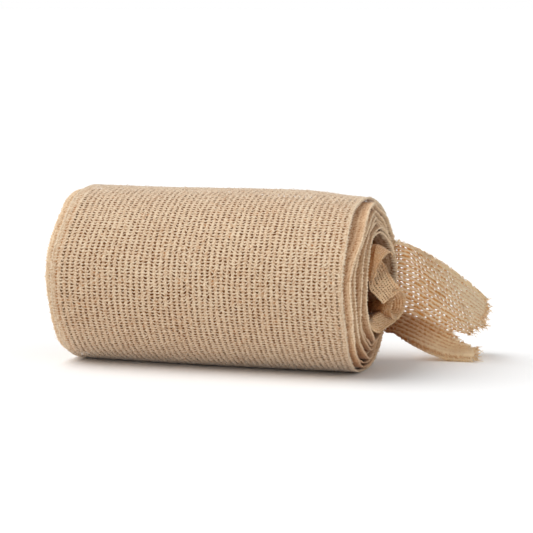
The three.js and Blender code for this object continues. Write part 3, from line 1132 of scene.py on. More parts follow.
    def painted_shading(self, across: np.ndarray, along: np.ndarray) -> np.ndarray:
        """How much painted shade the cloth has.

        Shade is painted where other cloth covers it, and more near the core. The rims have none and the
        left end a little, and half as much is painted where the cloth shows beside the outer turn's right
        edge; more is painted low on that end.

        Args:
            across: Place across the strip.
            along: Place along it.

        Returns:
            The painted shade of each place.
        """
        seen = (1.0 - smooth(across, *self.rim_span)) * smooth(across, *self.band_span)
        seen = seen * lerp(self.hidden_share, self.crescent_share, smooth(across, *self.crescent_span))
        lengths, angles = self.arc()
        turned = wrapped(np.interp(along, lengths, angles), 0.0)
        low = hump(turned, *self.low_angles) * smooth(across, *self.low_span)
        inner = 1.0 - smooth(along / lengths[-1], *self.dark_lengths)
        deep = (1.0 - smooth(across, *self.dark_span)) * inner
        band = self.painted_band_shade * (1.0 - smooth(across, *self.band_span))
        return (self.cover + self.painted_core_shade * deep) * seen + band + self.painted_low_shade * low

    def build(self, material: bpy.types.Material) -> bpy.types.Object:
        """Make the turns.

        Args:
            material: The cloth's finish.

        Returns:
            The turns.
        """
        weave = Weave(
            crown=0.38, bar_levels=(0.0, 1.0), bar=0.14, bar_round=0.14, dent=0.10, selvage_radius=0.25,
            tick=1.1, crown_tone=1.0, gap_tone=0.64, shut_tone=0.34,
        )
        edge = self.half_width - weave.selvage_radius
        first = edge - weave.selvage_step
        left_end = -first + self.left_columns * self.pitch
        right_start = first - self.right_columns * self.pitch
        shut = (self.left_columns, 0)
        woven = weave.columns(-first, left_end, self.left_columns, shut, shade=self.left_shade)
        woven += [Line(x, Part.PLAIN, self.plain_height) for x in (-self.woven, 0.0, self.woven)]
        shut = (self.right_columns, 0)
        woven += weave.columns(right_start, first, self.right_columns, shut, shade=self.right_shade)
        length = float(self.arc()[0][-1])
        turns = WovenSheet(
            "inner_turns",
            weave.with_selvages(-edge, edge, woven),
            round(length / weave.row_pitch),
            length,
            self.surface,
            self.seed,
            edge_play=1.2,
            shut_share=0.15,
            cover=self.painted_shading,
            weave=weave,
        ).build(material)
        return turns


class End(Enum):
    """The two ends of the roll."""

    RIGHT = "right"
    LEFT = "left"


def smooth_line(points: np.ndarray, t: np.ndarray) -> np.ndarray:
    """Follow a smooth line through points, its bends set by the root of the points' spacing.

    Args:
        points: The points, in order.
        t: Places on the line, from 0 at the first point to 1 at the last.

    Returns:
        One point for each place.
    """
    ends = (2 * points[0] - points[1], 2 * points[-1] - points[-2])
    full = np.concatenate([[ends[0]], points, [ends[1]]])
    place = np.clip(t, 0.0, 1.0) * (len(points) - 1)
    i = np.minimum(place.astype(int), len(points) - 2)
    w = (place - i)[:, None]
    p0, p1, p2, p3 = (full[i + k] for k in range(4))
    pairs = ((p0, p1), (p1, p2), (p2, p3))
    gaps = [np.maximum(np.linalg.norm(b - a, axis=1)[:, None] ** 0.5, LEAST_GAP) for a, b in pairs]
    first = ((p1 - p0) / gaps[0] - (p2 - p0) / (gaps[0] + gaps[1]) + (p2 - p1) / gaps[1]) * gaps[1]
    last = ((p2 - p1) / gaps[1] - (p3 - p1) / (gaps[1] + gaps[2]) + (p3 - p2) / gaps[2]) * gaps[1]
    rise = 3 * w**2 - 2 * w**3
    return p1 + (p2 - p1) * rise + first * (w - 2 * w**2 + w**3) + last * (w**3 - w**2)


def steps_of(points: np.ndarray) -> np.ndarray:
    """The distance from each point to the next."""
    return np.linalg.norm(np.diff(points, axis=0), axis=1)


@dataclass(frozen=True)
class CoreFold:
    """One fold of the crumpled inner end.

    Its long lines have one point for each step along it: rim on the edge that shows, root in the core,
    and bend a fold between the two. Its shade is painted: between lit and dark, millimetres in from
    the rim, it goes from the painted shade at the rim to the deeper painted shade at the root. A shut
    fold has no open columns of holes.
    """

    name: str
    rim: tuple[tuple[float, float, float], ...]
    root: tuple[tuple[float, float, float], ...]
    bend: tuple[tuple[float, float, float], ...] = ()
    shut: bool = True
    shut_share: float = 0.35
    browned: float = 0.12
    root_cover: float = 1.5
    lit: float = 4.0
    dark: float = 9.0

    def keys(self) -> list[np.ndarray]:
        """The fold's long lines, from the rim to the root."""
        return [np.array(line, float) for line in (self.rim, self.bend, self.root) if line]

    def painted_shading(self, across: np.ndarray, along: np.ndarray) -> np.ndarray:
        """How much painted shade the cloth has: more away from its rim, into the core."""
        return lerp(self.browned, self.root_cover, smooth(across, self.lit, self.dark))


CORE_FOLDS = (
    CoreFold(
        "cowl",
        rim=((52.4, -15.8, 30.7), (52.8, -14.2, 32.8), (53.2, -12.0, 34.9), (53.4, -10.0, 36.3),
             (53.5, -7.0, 37.4), (53.5, -3.2, 37.9), (53.4, 0.1, 37.4), (53.2, 2.4, 36.0),
             (53.0, 4.7, 35.0)),
        bend=((51.6, -15.4, 30.5), (51.6, -14.0, 33.4), (51.4, -11.6, 36.4), (51.0, -8.9, 38.7),
              (50.4, -5.4, 40.2), (50.0, -0.1, 39.6), (49.8, 4.0, 38.4), (49.6, 8.8, 37.0),
              (49.6, 11.9, 35.7)),
        root=((38, -14.6, 30.5), (38, -13.2, 33.0), (38, -11.0, 35.8), (38, -8.4, 38.0), (38, -5.0, 39.4),
              (38, -0.1, 38.8), (38, 4.0, 37.6), (38, 8.4, 36.4), (38, 11.2, 35.2)),
        browned=0.28,
        lit=6.0,
        dark=12.0,
    ),
    CoreFold(
        "strip",
        rim=((46.5, 9.1, 34.5), (47.8, 10.2, 33.1), (49.2, 10.4, 31.8), (50.6, 8.6, 30.3),
             (52.2, 8.6, 27.6), (53.2, 11.6, 24.5)),
        bend=((46.0, 3.4, 31.9), (46.8, -0.4, 29.5), (47.6, -4.2, 27.8), (48.6, -6.0, 26.2),
              (50.4, -5.5, 24.5), (52.4, -4.2, 22.0)),
        root=((43.5, 11.0, 30.9), (44.3, 8.8, 28.6), (45.1, 5.2, 26.9), (46.1, 3.1, 25.3),
              (47.9, 2.5, 23.6), (49.9, 3.8, 21.2)),
        shut=False,
        shut_share=0.05,
        browned=0.0,
        lit=14.0,
        dark=16.0,
    ),
    CoreFold(
        "loop",
        rim=((53.2, 5.0, 24.9), (53.4, 8.0, 24.8), (53.6, 11.7, 23.5), (53.6, 14.6, 21.2),
             (53.2, 15.2, 18.6), (52.8, 13.3, 16.9), (52.2, 10.6, 16.0), (51.7, 7.4, 15.9),
             (51.8, 4.9, 17.4), (52.4, 3.9, 20.0), (53.1, 4.3, 22.4)),
        bend=((49.4, 4.4, 24.0), (49.4, 7.3, 23.9), (49.4, 10.1, 22.6), (49.4, 12.3, 20.9),
              (49.4, 12.7, 18.9), (49.4, 11.4, 17.6), (49.2, 9.5, 16.9), (49.2, 6.8, 16.8),
              (49.2, 4.4, 18.1), (49.8, 3.5, 20.3), (51.0, 3.8, 22.4)),
        root=((36, 4.2, 23.6), (36, 7.4, 23.5), (36, 10.2, 22.6), (36, 12.4, 20.9),
              (36, 12.8, 18.9), (36, 11.2, 17.4), (36, 8.8, 16.4), (41, 6.4, 16.2),
              (45.5, 4.4, 17.8), (47.4, 3.5, 20.2), (49.2, 3.7, 22.3)),
        browned=0.25,
        lit=0.5,
        dark=14.0,
    ),
    CoreFold(
        "apron",
        rim=((52.6, 12.0, 15.8), (52.6, 6.5, 15.1), (52.4, -1.4, 14.3), (52.0, -7.4, 13.6),
             (51.2, -11.1, 14.9), (50.6, -12.7, 16.8)),
        bend=((52.0, 12.4, 16.6), (50.6, 10.0, 17.4), (49.2, 8.1, 18.2), (48.8, 1.9, 18.4),
              (48.4, -3.1, 17.8), (48.0, -4.9, 16.9)),
        root=((40, 12.0, 14.0), (38, 9.0, 14.5), (36, 7.0, 15.0), (36, 1.0, 15.0), (36, -4.0, 14.6),
              (36, -6.0, 14.2)),
        shut=False,
        lit=8.0,
        dark=12.0,
    ),
)


class FoldShape:
    """The middle of one fold's cloth, between its rim and its root."""

    samples: int = 240
    probe: float = 1e-3

    def __init__(self, fold: CoreFold, place: Callable[[np.ndarray], np.ndarray]) -> None:
        """Measure a fold's long lines.

        Args:
            fold: The fold.
            place: What puts its points where this end of the roll has them.
        """
        self.keys = fold.keys()
        self.place = place
        self.share = np.linspace(0.0, 1.0, self.samples)
        rim = smooth_line(self.keys[0], self.share)
        self.along_rim = np.concatenate([[0.0], np.cumsum(steps_of(rim))])
        self.length = float(self.along_rim[-1])
        between = zip(self.keys, self.keys[1:])
        self.deep = sum(float(np.linalg.norm(b - a, axis=1).mean()) for a, b in between)

    def mean_length(self) -> float:
        """The mean length of the long lines."""
        return float(np.mean([steps_of(smooth_line(key, self.share)).sum() for key in self.keys]))

    def point(self, across: np.ndarray, along: np.ndarray) -> np.ndarray:
        """The middle of the cloth.

        Args:
            across: Place in from the rim.
            along: Place along the rim.

        Returns:
            One point for each place.
        """
        t = np.interp(along, self.along_rim, self.share)
        over = (along - np.clip(along, 0.0, self.length))[:, None]
        lines = []
        for key in self.keys:
            steps = (-self.probe, self.probe)
            before, after = (smooth_line(key, np.clip(t + step, 0, 1)) for step in steps)
            lines.append(smooth_line(key, t) + unit(after - before) * over)
        share = across / self.deep * (len(lines) - 1)
        span = np.clip(share.astype(int), 0, len(lines) - 2)
        stack, pick = np.stack(lines), np.arange(len(t))
        start, stop = stack[span, pick], stack[span + 1, pick]
        return self.place(lerp(start, stop, (share - span)[:, None]))


@dataclass(frozen=True)
class Core:
    """The crumpled inner end at one end of the roll.

    The left end has the right end's folds, mirrored and turned by left_turn. Each plug wave is a
    height, how fast it runs across and up, and its shift.
    """

    winding: Winding
    end: End
    proud: float = 2.6
    left_turn: float = 140.0
    rib_pitch: float = 1.3
    least_columns: int = 2
    least_rows: int = 6
    plug_place: float = 35.0
    plug_radius: float = 16.6
    plug_rings: int = 12
    plug_sides: int = 48
    plug_waves: tuple[tuple[float, float, float, float], ...] = (
        (1.6, 0.55, 0.0, 0.9), (1.3, -0.4, 0.7, 0.0), (0.8, 1.3, 1.3, 0.0),
    )
    seed: int = 41

    def place(self, points: np.ndarray) -> np.ndarray:
        """Put points of the right end's folds where this end has them.

        Args:
            points: Points at the right end.

        Returns:
            The same points at the right end, and their images at the left one.
        """
        if self.end is End.RIGHT:
            return points
        turn = math.radians(self.left_turn)
        z = points[:, 2] - self.winding.axis_height
        y = points[:, 1]
        turned_y = y * math.cos(turn) - z * math.sin(turn)
        turned_z = y * math.sin(turn) + z * math.cos(turn)
        turned_x = self.proud - points[:, 0]
        return np.stack([turned_x, turned_y, turned_z + self.winding.axis_height], axis=-1)

    def fold(self, fold: CoreFold, number: int, material: bpy.types.Material) -> bpy.types.Object:
        """Make one fold, woven on both faces and rounded at its rim.

        Args:
            fold: Its long lines.
            number: Its place in the list, for the seed.
            material: The cloth's finish.

        Returns:
            The fold.
        """
        shape = FoldShape(fold, self.place)
        weave = Weave(
            rib_share=0.4, bar_share=0.38, crown=0.26, rib_edge=0.08, bar=0.0, bar_round=0.14, dent=0.06,
            selvage_radius=0.22, selvage_step=0.2, row_pitch=0.9, curl_steps=4, tick=1.6, crown_tone=1.05,
            edge_tone=0.76, gap_tone=0.5, bar_tone=0.4, shut_tone=0.3,
        )
        columns = max(self.least_columns, round(shape.deep / self.rib_pitch))
        shut = (columns, 0) if fold.shut else (1, 0)
        start = weave.selvage_step
        upper, lower = (weave.columns(start, shape.deep, columns, shut, sign) for sign in (1, -1))
        piece = WovenSheet(
            f"core_{fold.name}_{self.end.value}",
            [*reversed(lower), *reversed(weave.curl(0.0, -1)), *upper],
            max(self.least_rows, round(shape.length / weave.row_pitch)),
            shape.length,
            shape.point,
            self.seed + number,
            sway=0.26,
            edge_play=1.6,
            shut_share=fold.shut_share,
            cover=fold.painted_shading,
            weave=weave,
        ).build(material)
        shape.mean_length() * MM
        return piece

    def plug(self, material: bpy.types.Material) -> bpy.types.Object:
        """Make the bunched cloth at the bottom of the core.

        Args:
            material: The finish of cloth in the dark.

        Returns:
            A crumpled disc that closes the core.
        """
        bm = bmesh.new()
        sides, radius = self.plug_sides, self.plug_radius
        bmesh.ops.create_circle(bm, cap_ends=True, cap_tris=False, segments=sides, radius=radius)
        for _ in range(self.plug_rings):
            face = max(bm.faces, key=lambda f: len(f.verts))
            bmesh.ops.inset_individual(bm, faces=[face], thickness=radius / (self.plug_rings + 1))
        side = 1.0 if self.end is End.RIGHT else -1.0
        for vert in bm.verts:
            a, b = vert.co.x, vert.co.y
            crumple = sum(h * math.sin(u * a + v * b + shift) for h, u, v, shift in self.plug_waves)
            vert.co = Vector((side * (self.plug_place + crumple), a, b + self.winding.axis_height)) * MM
        bmesh.ops.recalc_face_normals(bm, faces=bm.faces[:])
        piece = add_piece(written(bm, f"core_plug_{self.end.value}"), material)
        return piece

    def build(self, material: bpy.types.Material, dark: bpy.types.Material) -> list[bpy.types.Object]:
        """Make every fold of this end and the cloth behind them."""
        folds = [self.fold(fold, i, material) for i, fold in enumerate(CORE_FOLDS)]
        return [*folds, self.plug(dark)]


class FibreBundle:
    """Many thin fibres, each a line of points with a thickness, that become one mesh."""

    def __init__(self, name: str) -> None:
        """Start with no fibre."""
        self.name = name
        self.fibres: list[tuple[np.ndarray, np.ndarray]] = []

    def add(self, points: np.ndarray, radius: float | np.ndarray) -> None:
        """Add a fibre through the points."""
        self.fibres.append((points, np.broadcast_to(radius, len(points)).astype(float)))

    def build(self, material: bpy.types.Material, tone: float) -> bpy.types.Object:
        """Make the mesh, with four sides to each fibre.

        Args:
            material: The fibres' finish.
            tone: How light they are.

        Returns:
            All the fibres as one piece.
        """
        curve = bpy.data.curves.new(self.name, "CURVE")
        curve.dimensions = "3D"
        curve.bevel_depth = MM
        curve.bevel_resolution = 0
        curve.use_fill_caps = True
        for points, radius in self.fibres:
            spline = curve.splines.new("POLY")
            spline.points.add(len(points) - 1)
            flat = np.concatenate([points * MM, np.ones((len(points), 1))], axis=1)
            spline.points.foreach_set("co", flat.astype(np.float32).ravel())
            spline.points.foreach_set("radius", radius.astype(np.float32))
        holder = bpy.data.objects.new(f"{self.name}_lines", curve)
        mesh = bpy.data.meshes.new_from_object(holder)
        mesh.name = self.name
        bpy.data.objects.remove(holder)
        bpy.data.curves.remove(curve)
        for name, value in (("tone", tone), ("cover", 0.0)):
            set_values(mesh, name, np.full(len(mesh.vertices), value))
        return add_piece(mesh, material)


def monotone(xs: np.ndarray, ys: np.ndarray, x: np.ndarray) -> np.ndarray:
    """Follow a smooth line through rows of a table that never overshoots them.

    Args:
        xs: Where the rows are.
        ys: Their values, one column or several.
        x: Where to read the line.

    Returns:
        The values at x.
    """
    x = np.asarray(x, float)
    secants = np.diff(ys, axis=0) / np.diff(xs)[:, None]
    before = np.concatenate([secants[:1], secants])
    after = np.concatenate([secants, secants[-1:]])
    product = before * after
    slopes = np.where(product > 0, 2 * product / np.where(product > 0, before + after, 1.0), 0.0)
    i = np.clip(np.searchsorted(xs, x, side="left"), 1, len(xs) - 1)
    span = (xs[i] - xs[i - 1])[:, None]
    t = (x - xs[i - 1])[:, None] / span
    start = (2 * t**3 - 3 * t**2 + 1) * ys[i - 1] + (t**3 - 2 * t**2 + t) * slopes[i - 1] * span
    return start + (3 * t**2 - 2 * t**3) * ys[i] + (t**3 - t**2) * slopes[i] * span


@dataclass(frozen=True)
class TailSection:
    """A section of the loose end, from its top selvage to its bottom fold as a curve with two handles."""

    x: float
    top: tuple[float, float]
    high: tuple[float, float]
    low: tuple[float, float]
    fold: tuple[float, float]
    flap: float

    def row(self) -> list[float]:
        """The section as one row of numbers."""
        return [*self.top, *self.high, *self.low, *self.fold, self.flap]


@dataclass(frozen=True)
class LooseEnd:
    """The strip's free end: one layer above, doubled below, frayed where it was cut.

    A place runs from 0 at the top selvage to 1 at the bottom fold, to 2 round the fold and to 3 over
    the flap under it. cut_across and cut_x belong together: a place on the front layer, and how far
    along X the cloth reaches there. Fields that end in _span are along the strip, from inside the roll.
    """

    winding: Winding
    tuck_radius: float = 26.7
    tuck_angles: Span = (66.0, 130.0)
    tuck_start: float = 41.5
    tuck_flap: float = 6.0
    flap_start: float = 47.8
    flap_share: float = 0.33
    flap_reach: float = 45.2
    flap_short: float = 1.0
    flap_steep: float = 4.0
    gap: float = 1.6
    gap_start: float = 1.1
    gap_rise: float = 6.0
    half_thickness: float = 0.8
    front_width: float = 50.0
    fold_width: float = 2.5
    flap_width: float = 16.0
    columns: int = 27
    rib_middle: float = 0.3
    spare: float = 0.5
    fray: float = 0.35
    fray_waves: Span = (31.0, 53.0)
    fray_shift: float = 1.0
    fray_share: float = 0.7
    uneven_ends: float = 0.3
    # Painted shade where the cloth leaves the roll, low down
    root_cover: Span = (0.1, 0.85)
    root_span: Span = (4.0, 20.0)
    root_places: Span = (0.4, 0.95)
    # Painted light towards the cut end and at the fold
    painted_light: float = 0.32
    painted_light_span: Span = (12.0, 32.0)
    painted_fold_light: float = 0.35
    fold_span: Span = (6.0, 20.0)
    fold_places: Span = (0.7, 1.0)
    seed: int = 71
    cut_across: tuple[float, ...] = (
        0, 0.03, 0.07, 0.18, 0.35, 0.44, 0.55, 0.62, 0.665, 0.71, 0.77, 0.81, 0.93, 1,
    )
    cut_x: tuple[float, ...] = (
        75.6, 76.6, 76.3, 75.3, 71.4, 71.4, 68.5, 66.3, 61.0, 62.6, 65.2, 69.4, 71.6, 73.0,
    )

    @property
    def width(self) -> float:
        """Width of the flat strip."""
        return self.front_width + self.fold_width + self.flap_width

    def sections(self) -> tuple[np.ndarray, np.ndarray]:
        """Lay out the sections.

        Returns:
            Their places along X, and their rows of numbers.
        """
        rows = [
            self.tucked(self.tuck_start),
            self.tucked(self.flap_start),
            TailSection(52, (28.6, 36.4), (37.0, 26.0), (38.0, 13.0), (22.6, 8.2), 10),
            TailSection(58, (30.2, 33.1), (41.0, 21.0), (50.0, 6.2), (25.6, 5.0), 13),
            TailSection(64, (31.0, 29.5), (42.0, 16.0), (60.0, 1.4), (27.6, 2.8), 15),
            TailSection(70, (30.8, 25.3), (42.0, 12.0), (64.0, 0.6), (28.4, 2.2), 16),
            TailSection(77, (29.8, 19.9), (40.0, 8.0), (66.0, 0.6), (28.6, 2.2), 16),
        ]
        return np.array([row.x for row in rows], float), np.array([row.row() for row in rows], float)

    def tucked(self, x: float) -> TailSection:
        """Lay a section on the round of the roll.

        Args:
            x: Its place along the roll.

        Returns:
            The section, with handles that make its curve an arc.
        """
        start, stop = self.tuck_angles
        handle = 4.0 / 3.0 * math.tan(math.radians(stop - start) / 4.0) * self.tuck_radius
        ends = []
        for angle, sign in ((start, 1.0), (stop, -1.0)):
            p = self.winding.point(np.array([angle]), np.array([self.tuck_radius]), np.array([x]))[0]
            a = math.radians(angle)
            h = (p[1] + sign * handle * math.cos(a), p[2] - sign * handle * math.sin(a))
            ends.append(((p[1], p[2]), h))
        (top, high), (fold, low) = ends
        return TailSection(x, top, high, low, fold, self.tuck_flap)

    def front(self, x: np.ndarray, across: np.ndarray) -> tuple[np.ndarray, np.ndarray, np.ndarray]:
        """The front layer.

        Args:
            x: Places along X.
            across: Places from the top selvage, 0, to the bottom fold, 1.

        Returns:
            The points, the directions across the sheet, and the width turned under as a share.
        """
        values = monotone(*self.sections(), x)
        ctrl = [np.stack([x, values[:, 2 * k], values[:, 2 * k + 1]], axis=-1) for k in range(4)]
        t = across[:, None]
        s = 1.0 - t
        p = s**3 * ctrl[0] + 3 * s**2 * t * ctrl[1] + 3 * s * t**2 * ctrl[2] + t**3 * ctrl[3]
        d = s**2 * (ctrl[1] - ctrl[0]) + 2 * s * t * (ctrl[2] - ctrl[1]) + t**2 * (ctrl[3] - ctrl[2])
        # The curve is about as long as the mean of its handles' line and its chord
        length = sum(np.linalg.norm(b - a, axis=1) for a, b in zip(ctrl, ctrl[1:])) * 0.5
        length += np.linalg.norm(ctrl[3] - ctrl[0], axis=1) * 0.5
        p[:, 2] = np.maximum(p[:, 2], self.half_thickness + self.gap)
        return p, unit(d), values[:, 8] / length

    def point(self, x: np.ndarray, place: np.ndarray) -> np.ndarray:
        """The middle of the sheet, from the front layer round the bottom fold into the flap under it.

        Args:
            x: Places along X.
            place: Places across, from 0 to 3.

        Returns:
            One point for each place.
        """
        gap = lerp(self.gap_start, self.gap, smooth(x, self.flap_start, self.flap_start + self.gap_rise))
        gap = gap[:, None]
        flap = self.front(x, np.ones_like(x))[2]
        across = np.where(place <= 1.0, place, 1.0 - np.maximum(place - 2.0, 0.0) * flap)
        p, along, _ = self.front(x, across)
        turn = (math.pi * np.clip(place - 1.0, 0.0, 1.0))[:, None]
        outwards = np.stack([np.zeros_like(x), -along[:, 2], along[:, 1]], axis=-1)
        p = p + outwards * gap / 2 * (1.0 - np.cos(turn)) + along * gap / 2 * np.sin(turn)
        p[:, 2] = np.maximum(p[:, 2], self.half_thickness)
        return p

    def end_of(self, place: float) -> float:
        """Find the cut end.

        Args:
            place: A place across.

        Returns:
            How far along X the cloth reaches there.
        """
        under = max(place - 2.0, 0.0)
        across = min(place, 1.0) - self.flap_share * under
        first, second = self.fray_waves
        frayed = math.sin(first * across + self.fray_shift) + self.fray_share * math.sin(second * across)
        cut = float(np.interp(across, self.cut_across, self.cut_x)) + self.fray * frayed
        return cut - min(self.flap_steep * under, self.flap_short)

    def place(self, across: np.ndarray) -> np.ndarray:
        """Turn millimetres from the top selvage into a place from 0 to 3."""
        widths = [0.0, self.front_width, self.fold_width, self.flap_width]
        return np.interp(across, np.cumsum(widths), [0.0, 1.0, 2.0, 3.0])

    def surface(self, across: np.ndarray, along: np.ndarray) -> np.ndarray:
        """The middle of the cloth, across from its top selvage and along X from inside the roll."""
        return self.point(self.tuck_start + along, self.place(across))

    def shown(self, across: np.ndarray, along: np.ndarray) -> np.ndarray:
        """Whether there is cloth: not past its cut end, and not inside the roll under the fold.

        Args:
            across: Place across the strip.
            along: Place along it.

        Returns:
            True or false for each place.
        """
        place, x = self.place(across), self.tuck_start + along
        ends = np.interp(place, self.lanes(), self.lane_ends())
        return (x < ends) & ((place <= 1.0) | (x > self.flap_reach))

    def lanes(self) -> np.ndarray:
        """The places of the ribs."""
        return self.place((np.arange(self.columns) + self.rib_middle) * self.width / self.columns)

    def lane_ends(self) -> np.ndarray:
        """Where each rib ends along X."""
        uneven = np.random.default_rng(self.seed + 1).normal(0.0, self.uneven_ends, self.columns)
        return np.array([self.end_of(place) for place in self.lanes()]) + uneven

    def painted_shading(self, across: np.ndarray, along: np.ndarray) -> np.ndarray:
        """How much painted shade the cloth has: more where it leaves the roll, low down."""
        low = smooth(self.place(across), *self.root_places)
        return (1.0 - smooth(along, *self.root_span)) * lerp(*self.root_cover, low)

    def painted_light_at(self, across: np.ndarray, along: np.ndarray) -> np.ndarray:
        """How much painted light the cloth has: more towards its cut end and at its fold."""
        fold = smooth(self.place(across), *self.fold_places) * smooth(along, *self.fold_span)
        return self.painted_light * smooth(along, *self.painted_light_span) + self.painted_fold_light * fold

    def build(self, material: bpy.types.Material) -> list[bpy.types.Object]:
        """Make the loose end.

        Args:
            material: The finish of cloth that light comes through.

        Returns:
            The cloth and its frayed fibres.
        """
        weave = Weave(
            rib_share=0.64, row_pitch=1.15, bar_share=0.66, crown=0.8, rib_edge=0.0, bar=-0.3,
            bar_round=0.1, selvage_radius=0.3, selvage_step=0.2, tick=1.2, crown_tone=1.15, crown_dip=0.05,
            edge_tone=0.2, edge_dip=0.0, gap_tone=0.0, bar_tone=0.0, shut_tone=0.0, curl_tone=1.1,
        )
        inset = weave.selvage_radius
        first = inset + weave.selvage_step
        ribs = weave.columns(first, self.width - first, self.columns, (0, 0))
        ribs[0] = Line(ribs[0].across, Part.CURL, weave.selvage_radius)
        length = float(self.lane_ends().max()) - self.tuck_start + self.spare
        tail = WovenSheet(
            "tail",
            weave.with_selvages(inset, self.width - inset, ribs),
            round(length / weave.row_pitch),
            length,
            self.surface,
            self.seed,
            sway=0.13,
            edge_play=3.0,
            shut_share=0.12,
            shut_growth=0.12,
            painted_lightening=self.painted_light_at,
            cover=self.painted_shading,
            shown=self.shown,
            weave=weave,
        ).build(material)
        ends = FrayedEnds(self, np.random.default_rng(self.seed)).build(material)
        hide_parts(LOOSE_END)
        return [tail, ends]


@dataclass(frozen=True)
class FrayedEnds:
    """The fibres that go on past each rib's cut end, and the loops that stand out at the top selvage.

    A fibre's bend, curl and play are random spreads.
    """

    cloth: LooseEnd
    rng: np.random.Generator
    samples: int = 7
    tone: float = 0.95
    root_steps: tuple[float, ...] = (1.6, 1.0, 0.4)
    fibres: int = 14
    reach: Span = (0.4, 1.3)
    bend: float = 0.8
    curl: float = 0.5
    curl_turns: float = 5.0
    curl_share: float = 0.3
    root_play: float = 0.25
    lowest: float = 0.15
    radii: Span = (0.16, 0.06)
    loop_pitch: float = 0.7
    loop_stop: float = 0.5
    loop_play: float = 0.15
    loop_lengths: Span = (0.4, 0.9)
    loop_heights: Span = (0.2, 1.0)
    loop_radii: Span = (0.08, 0.16)
    probe: float = 0.02

    def build(self, material: bpy.types.Material) -> bpy.types.Object:
        """Make the fibres of the cut end, then the loops.

        Args:
            material: The finish of cloth that light comes through.

        Returns:
            All of them as one piece.
        """
        ends = FibreBundle("tail_frayed_yarns")
        for place, stop in zip(self.cloth.lanes(), self.cloth.lane_ends()):
            x = stop - np.array(self.root_steps)
            self.fray(self.cloth.point(x, np.full(len(x), place)), ends)
        last = self.cloth.end_of(0.0) - self.loop_stop
        for start in np.arange(self.cloth.flap_start, last, self.loop_pitch):
            self.loop(start, ends)
        return ends.build(material, self.tone)

    def fray(self, points: np.ndarray, ends: FibreBundle) -> None:
        """Let a few fibres go on past a rib's cut end.

        Args:
            points: The rib's last points.
            ends: Takes the fibres.
        """
        heading = unit(points[-1] - points[0])
        for _ in range(self.fibres):
            reach = self.rng.uniform(*self.reach)
            bend = self.rng.normal(0.0, self.bend, 3)
            curl = self.rng.normal(0.0, self.curl, 3)
            t = np.linspace(0.0, 1.0, self.samples)[:, None]
            root = points[-1] + self.rng.normal(0.0, self.root_play, 3)
            curled = curl * np.sin(self.curl_turns * t) * t * self.curl_share
            line = root + reach * (heading * t + bend * t**2 + curled)
            line[:, 2] = np.maximum(line[:, 2], self.lowest)
            ends.add(line, lerp(*self.radii, t[:, 0]))

    def loop(self, start: float, ends: FibreBundle) -> None:
        """Let one loop stand out at the top selvage.

        Args:
            start: Where it starts, along X.
            ends: Takes the loop.
        """
        t = np.linspace(0.0, 1.0, self.samples)
        x = start + self.rng.normal(0.0, self.loop_play) + t * self.rng.uniform(*self.loop_lengths)
        edge = self.cloth.point(x, np.zeros_like(x))
        out = unit(edge - self.cloth.point(x, np.full_like(x, self.probe)))
        edge = edge + out * (self.rng.uniform(*self.loop_heights) * np.sin(math.pi * t))[:, None]
        ends.add(edge, self.rng.uniform(*self.loop_radii))


@dataclass(frozen=True)
class Fuzz:
    """Loose fibres that stand off the cloth where its painted shade is less than bare."""

    radius: float = 0.045
    tip_share: float = 0.5
    short: float = 0.5
    long: float = 1.9
    lift: float = 0.35
    arches: Span = (0.3, 1.3)
    arch_turns: Span = (1.6, 3.2)
    curl: float = 0.45
    samples: int = 5
    bare: float = 0.4
    seed: int = 97

    def grow(self, name: str, share: dict[str, int], material: bpy.types.Material) -> bpy.types.Object:
        """Let fibres start at random points of some pieces.

        Args:
            name: The name of the new piece.
            share: How many fibres each piece gets, by its name.
            material: Their finish.

        Returns:
            All the fibres as one piece.
        """
        rng = np.random.default_rng(self.seed)
        fibres = FibreBundle(name)
        for piece, count in share.items():
            mesh = bpy.data.objects[piece].data
            places = np.empty(3 * len(mesh.vertices), np.float32)
            normals = np.empty_like(places)
            mesh.vertices.foreach_get("co", places)
            mesh.vertex_normals.foreach_get("vector", normals)
            places, normals = places.reshape(-1, 3) / MM, normals.reshape(-1, 3)
            cover = np.empty(len(places), np.float32)
            mesh.attributes["cover"].data.foreach_get("value", cover)
            for i in rng.choice(np.flatnonzero(cover < self.bare), count):
                self.fibre(rng, fibres, places[i].astype(float), normals[i].astype(float))
        return fibres.build(material, 1.0)

    def fibre(
        self, rng: np.random.Generator, fibres: FibreBundle, start: np.ndarray, normal: np.ndarray
    ) -> None:
        """Add one curved fibre.

        Args:
            rng: Where the numbers come from.
            fibres: Takes the fibre.
            start: Where it leaves the cloth.
            normal: Which way the cloth faces there.
        """
        sideways = rng.normal(0.0, 1.0, 3)
        sideways = unit(sideways - normal * (sideways @ normal))
        curl = unit(np.cross(sideways, normal)) * rng.normal(0.0, self.curl)
        length = rng.uniform(self.short, self.long)
        t = np.linspace(0.0, 1.0, self.samples)[:, None]
        arch = self.lift * rng.uniform(*self.arches) * np.sin(t * rng.uniform(*self.arch_turns))
        line = start + length * (sideways * t + curl * t**2) + normal * arch
        line[:, 2] = np.maximum(line[:, 2], 2 * self.radius)
        fibres.add(line, lerp(self.radius, self.tip_share * self.radius, t[:, 0]))


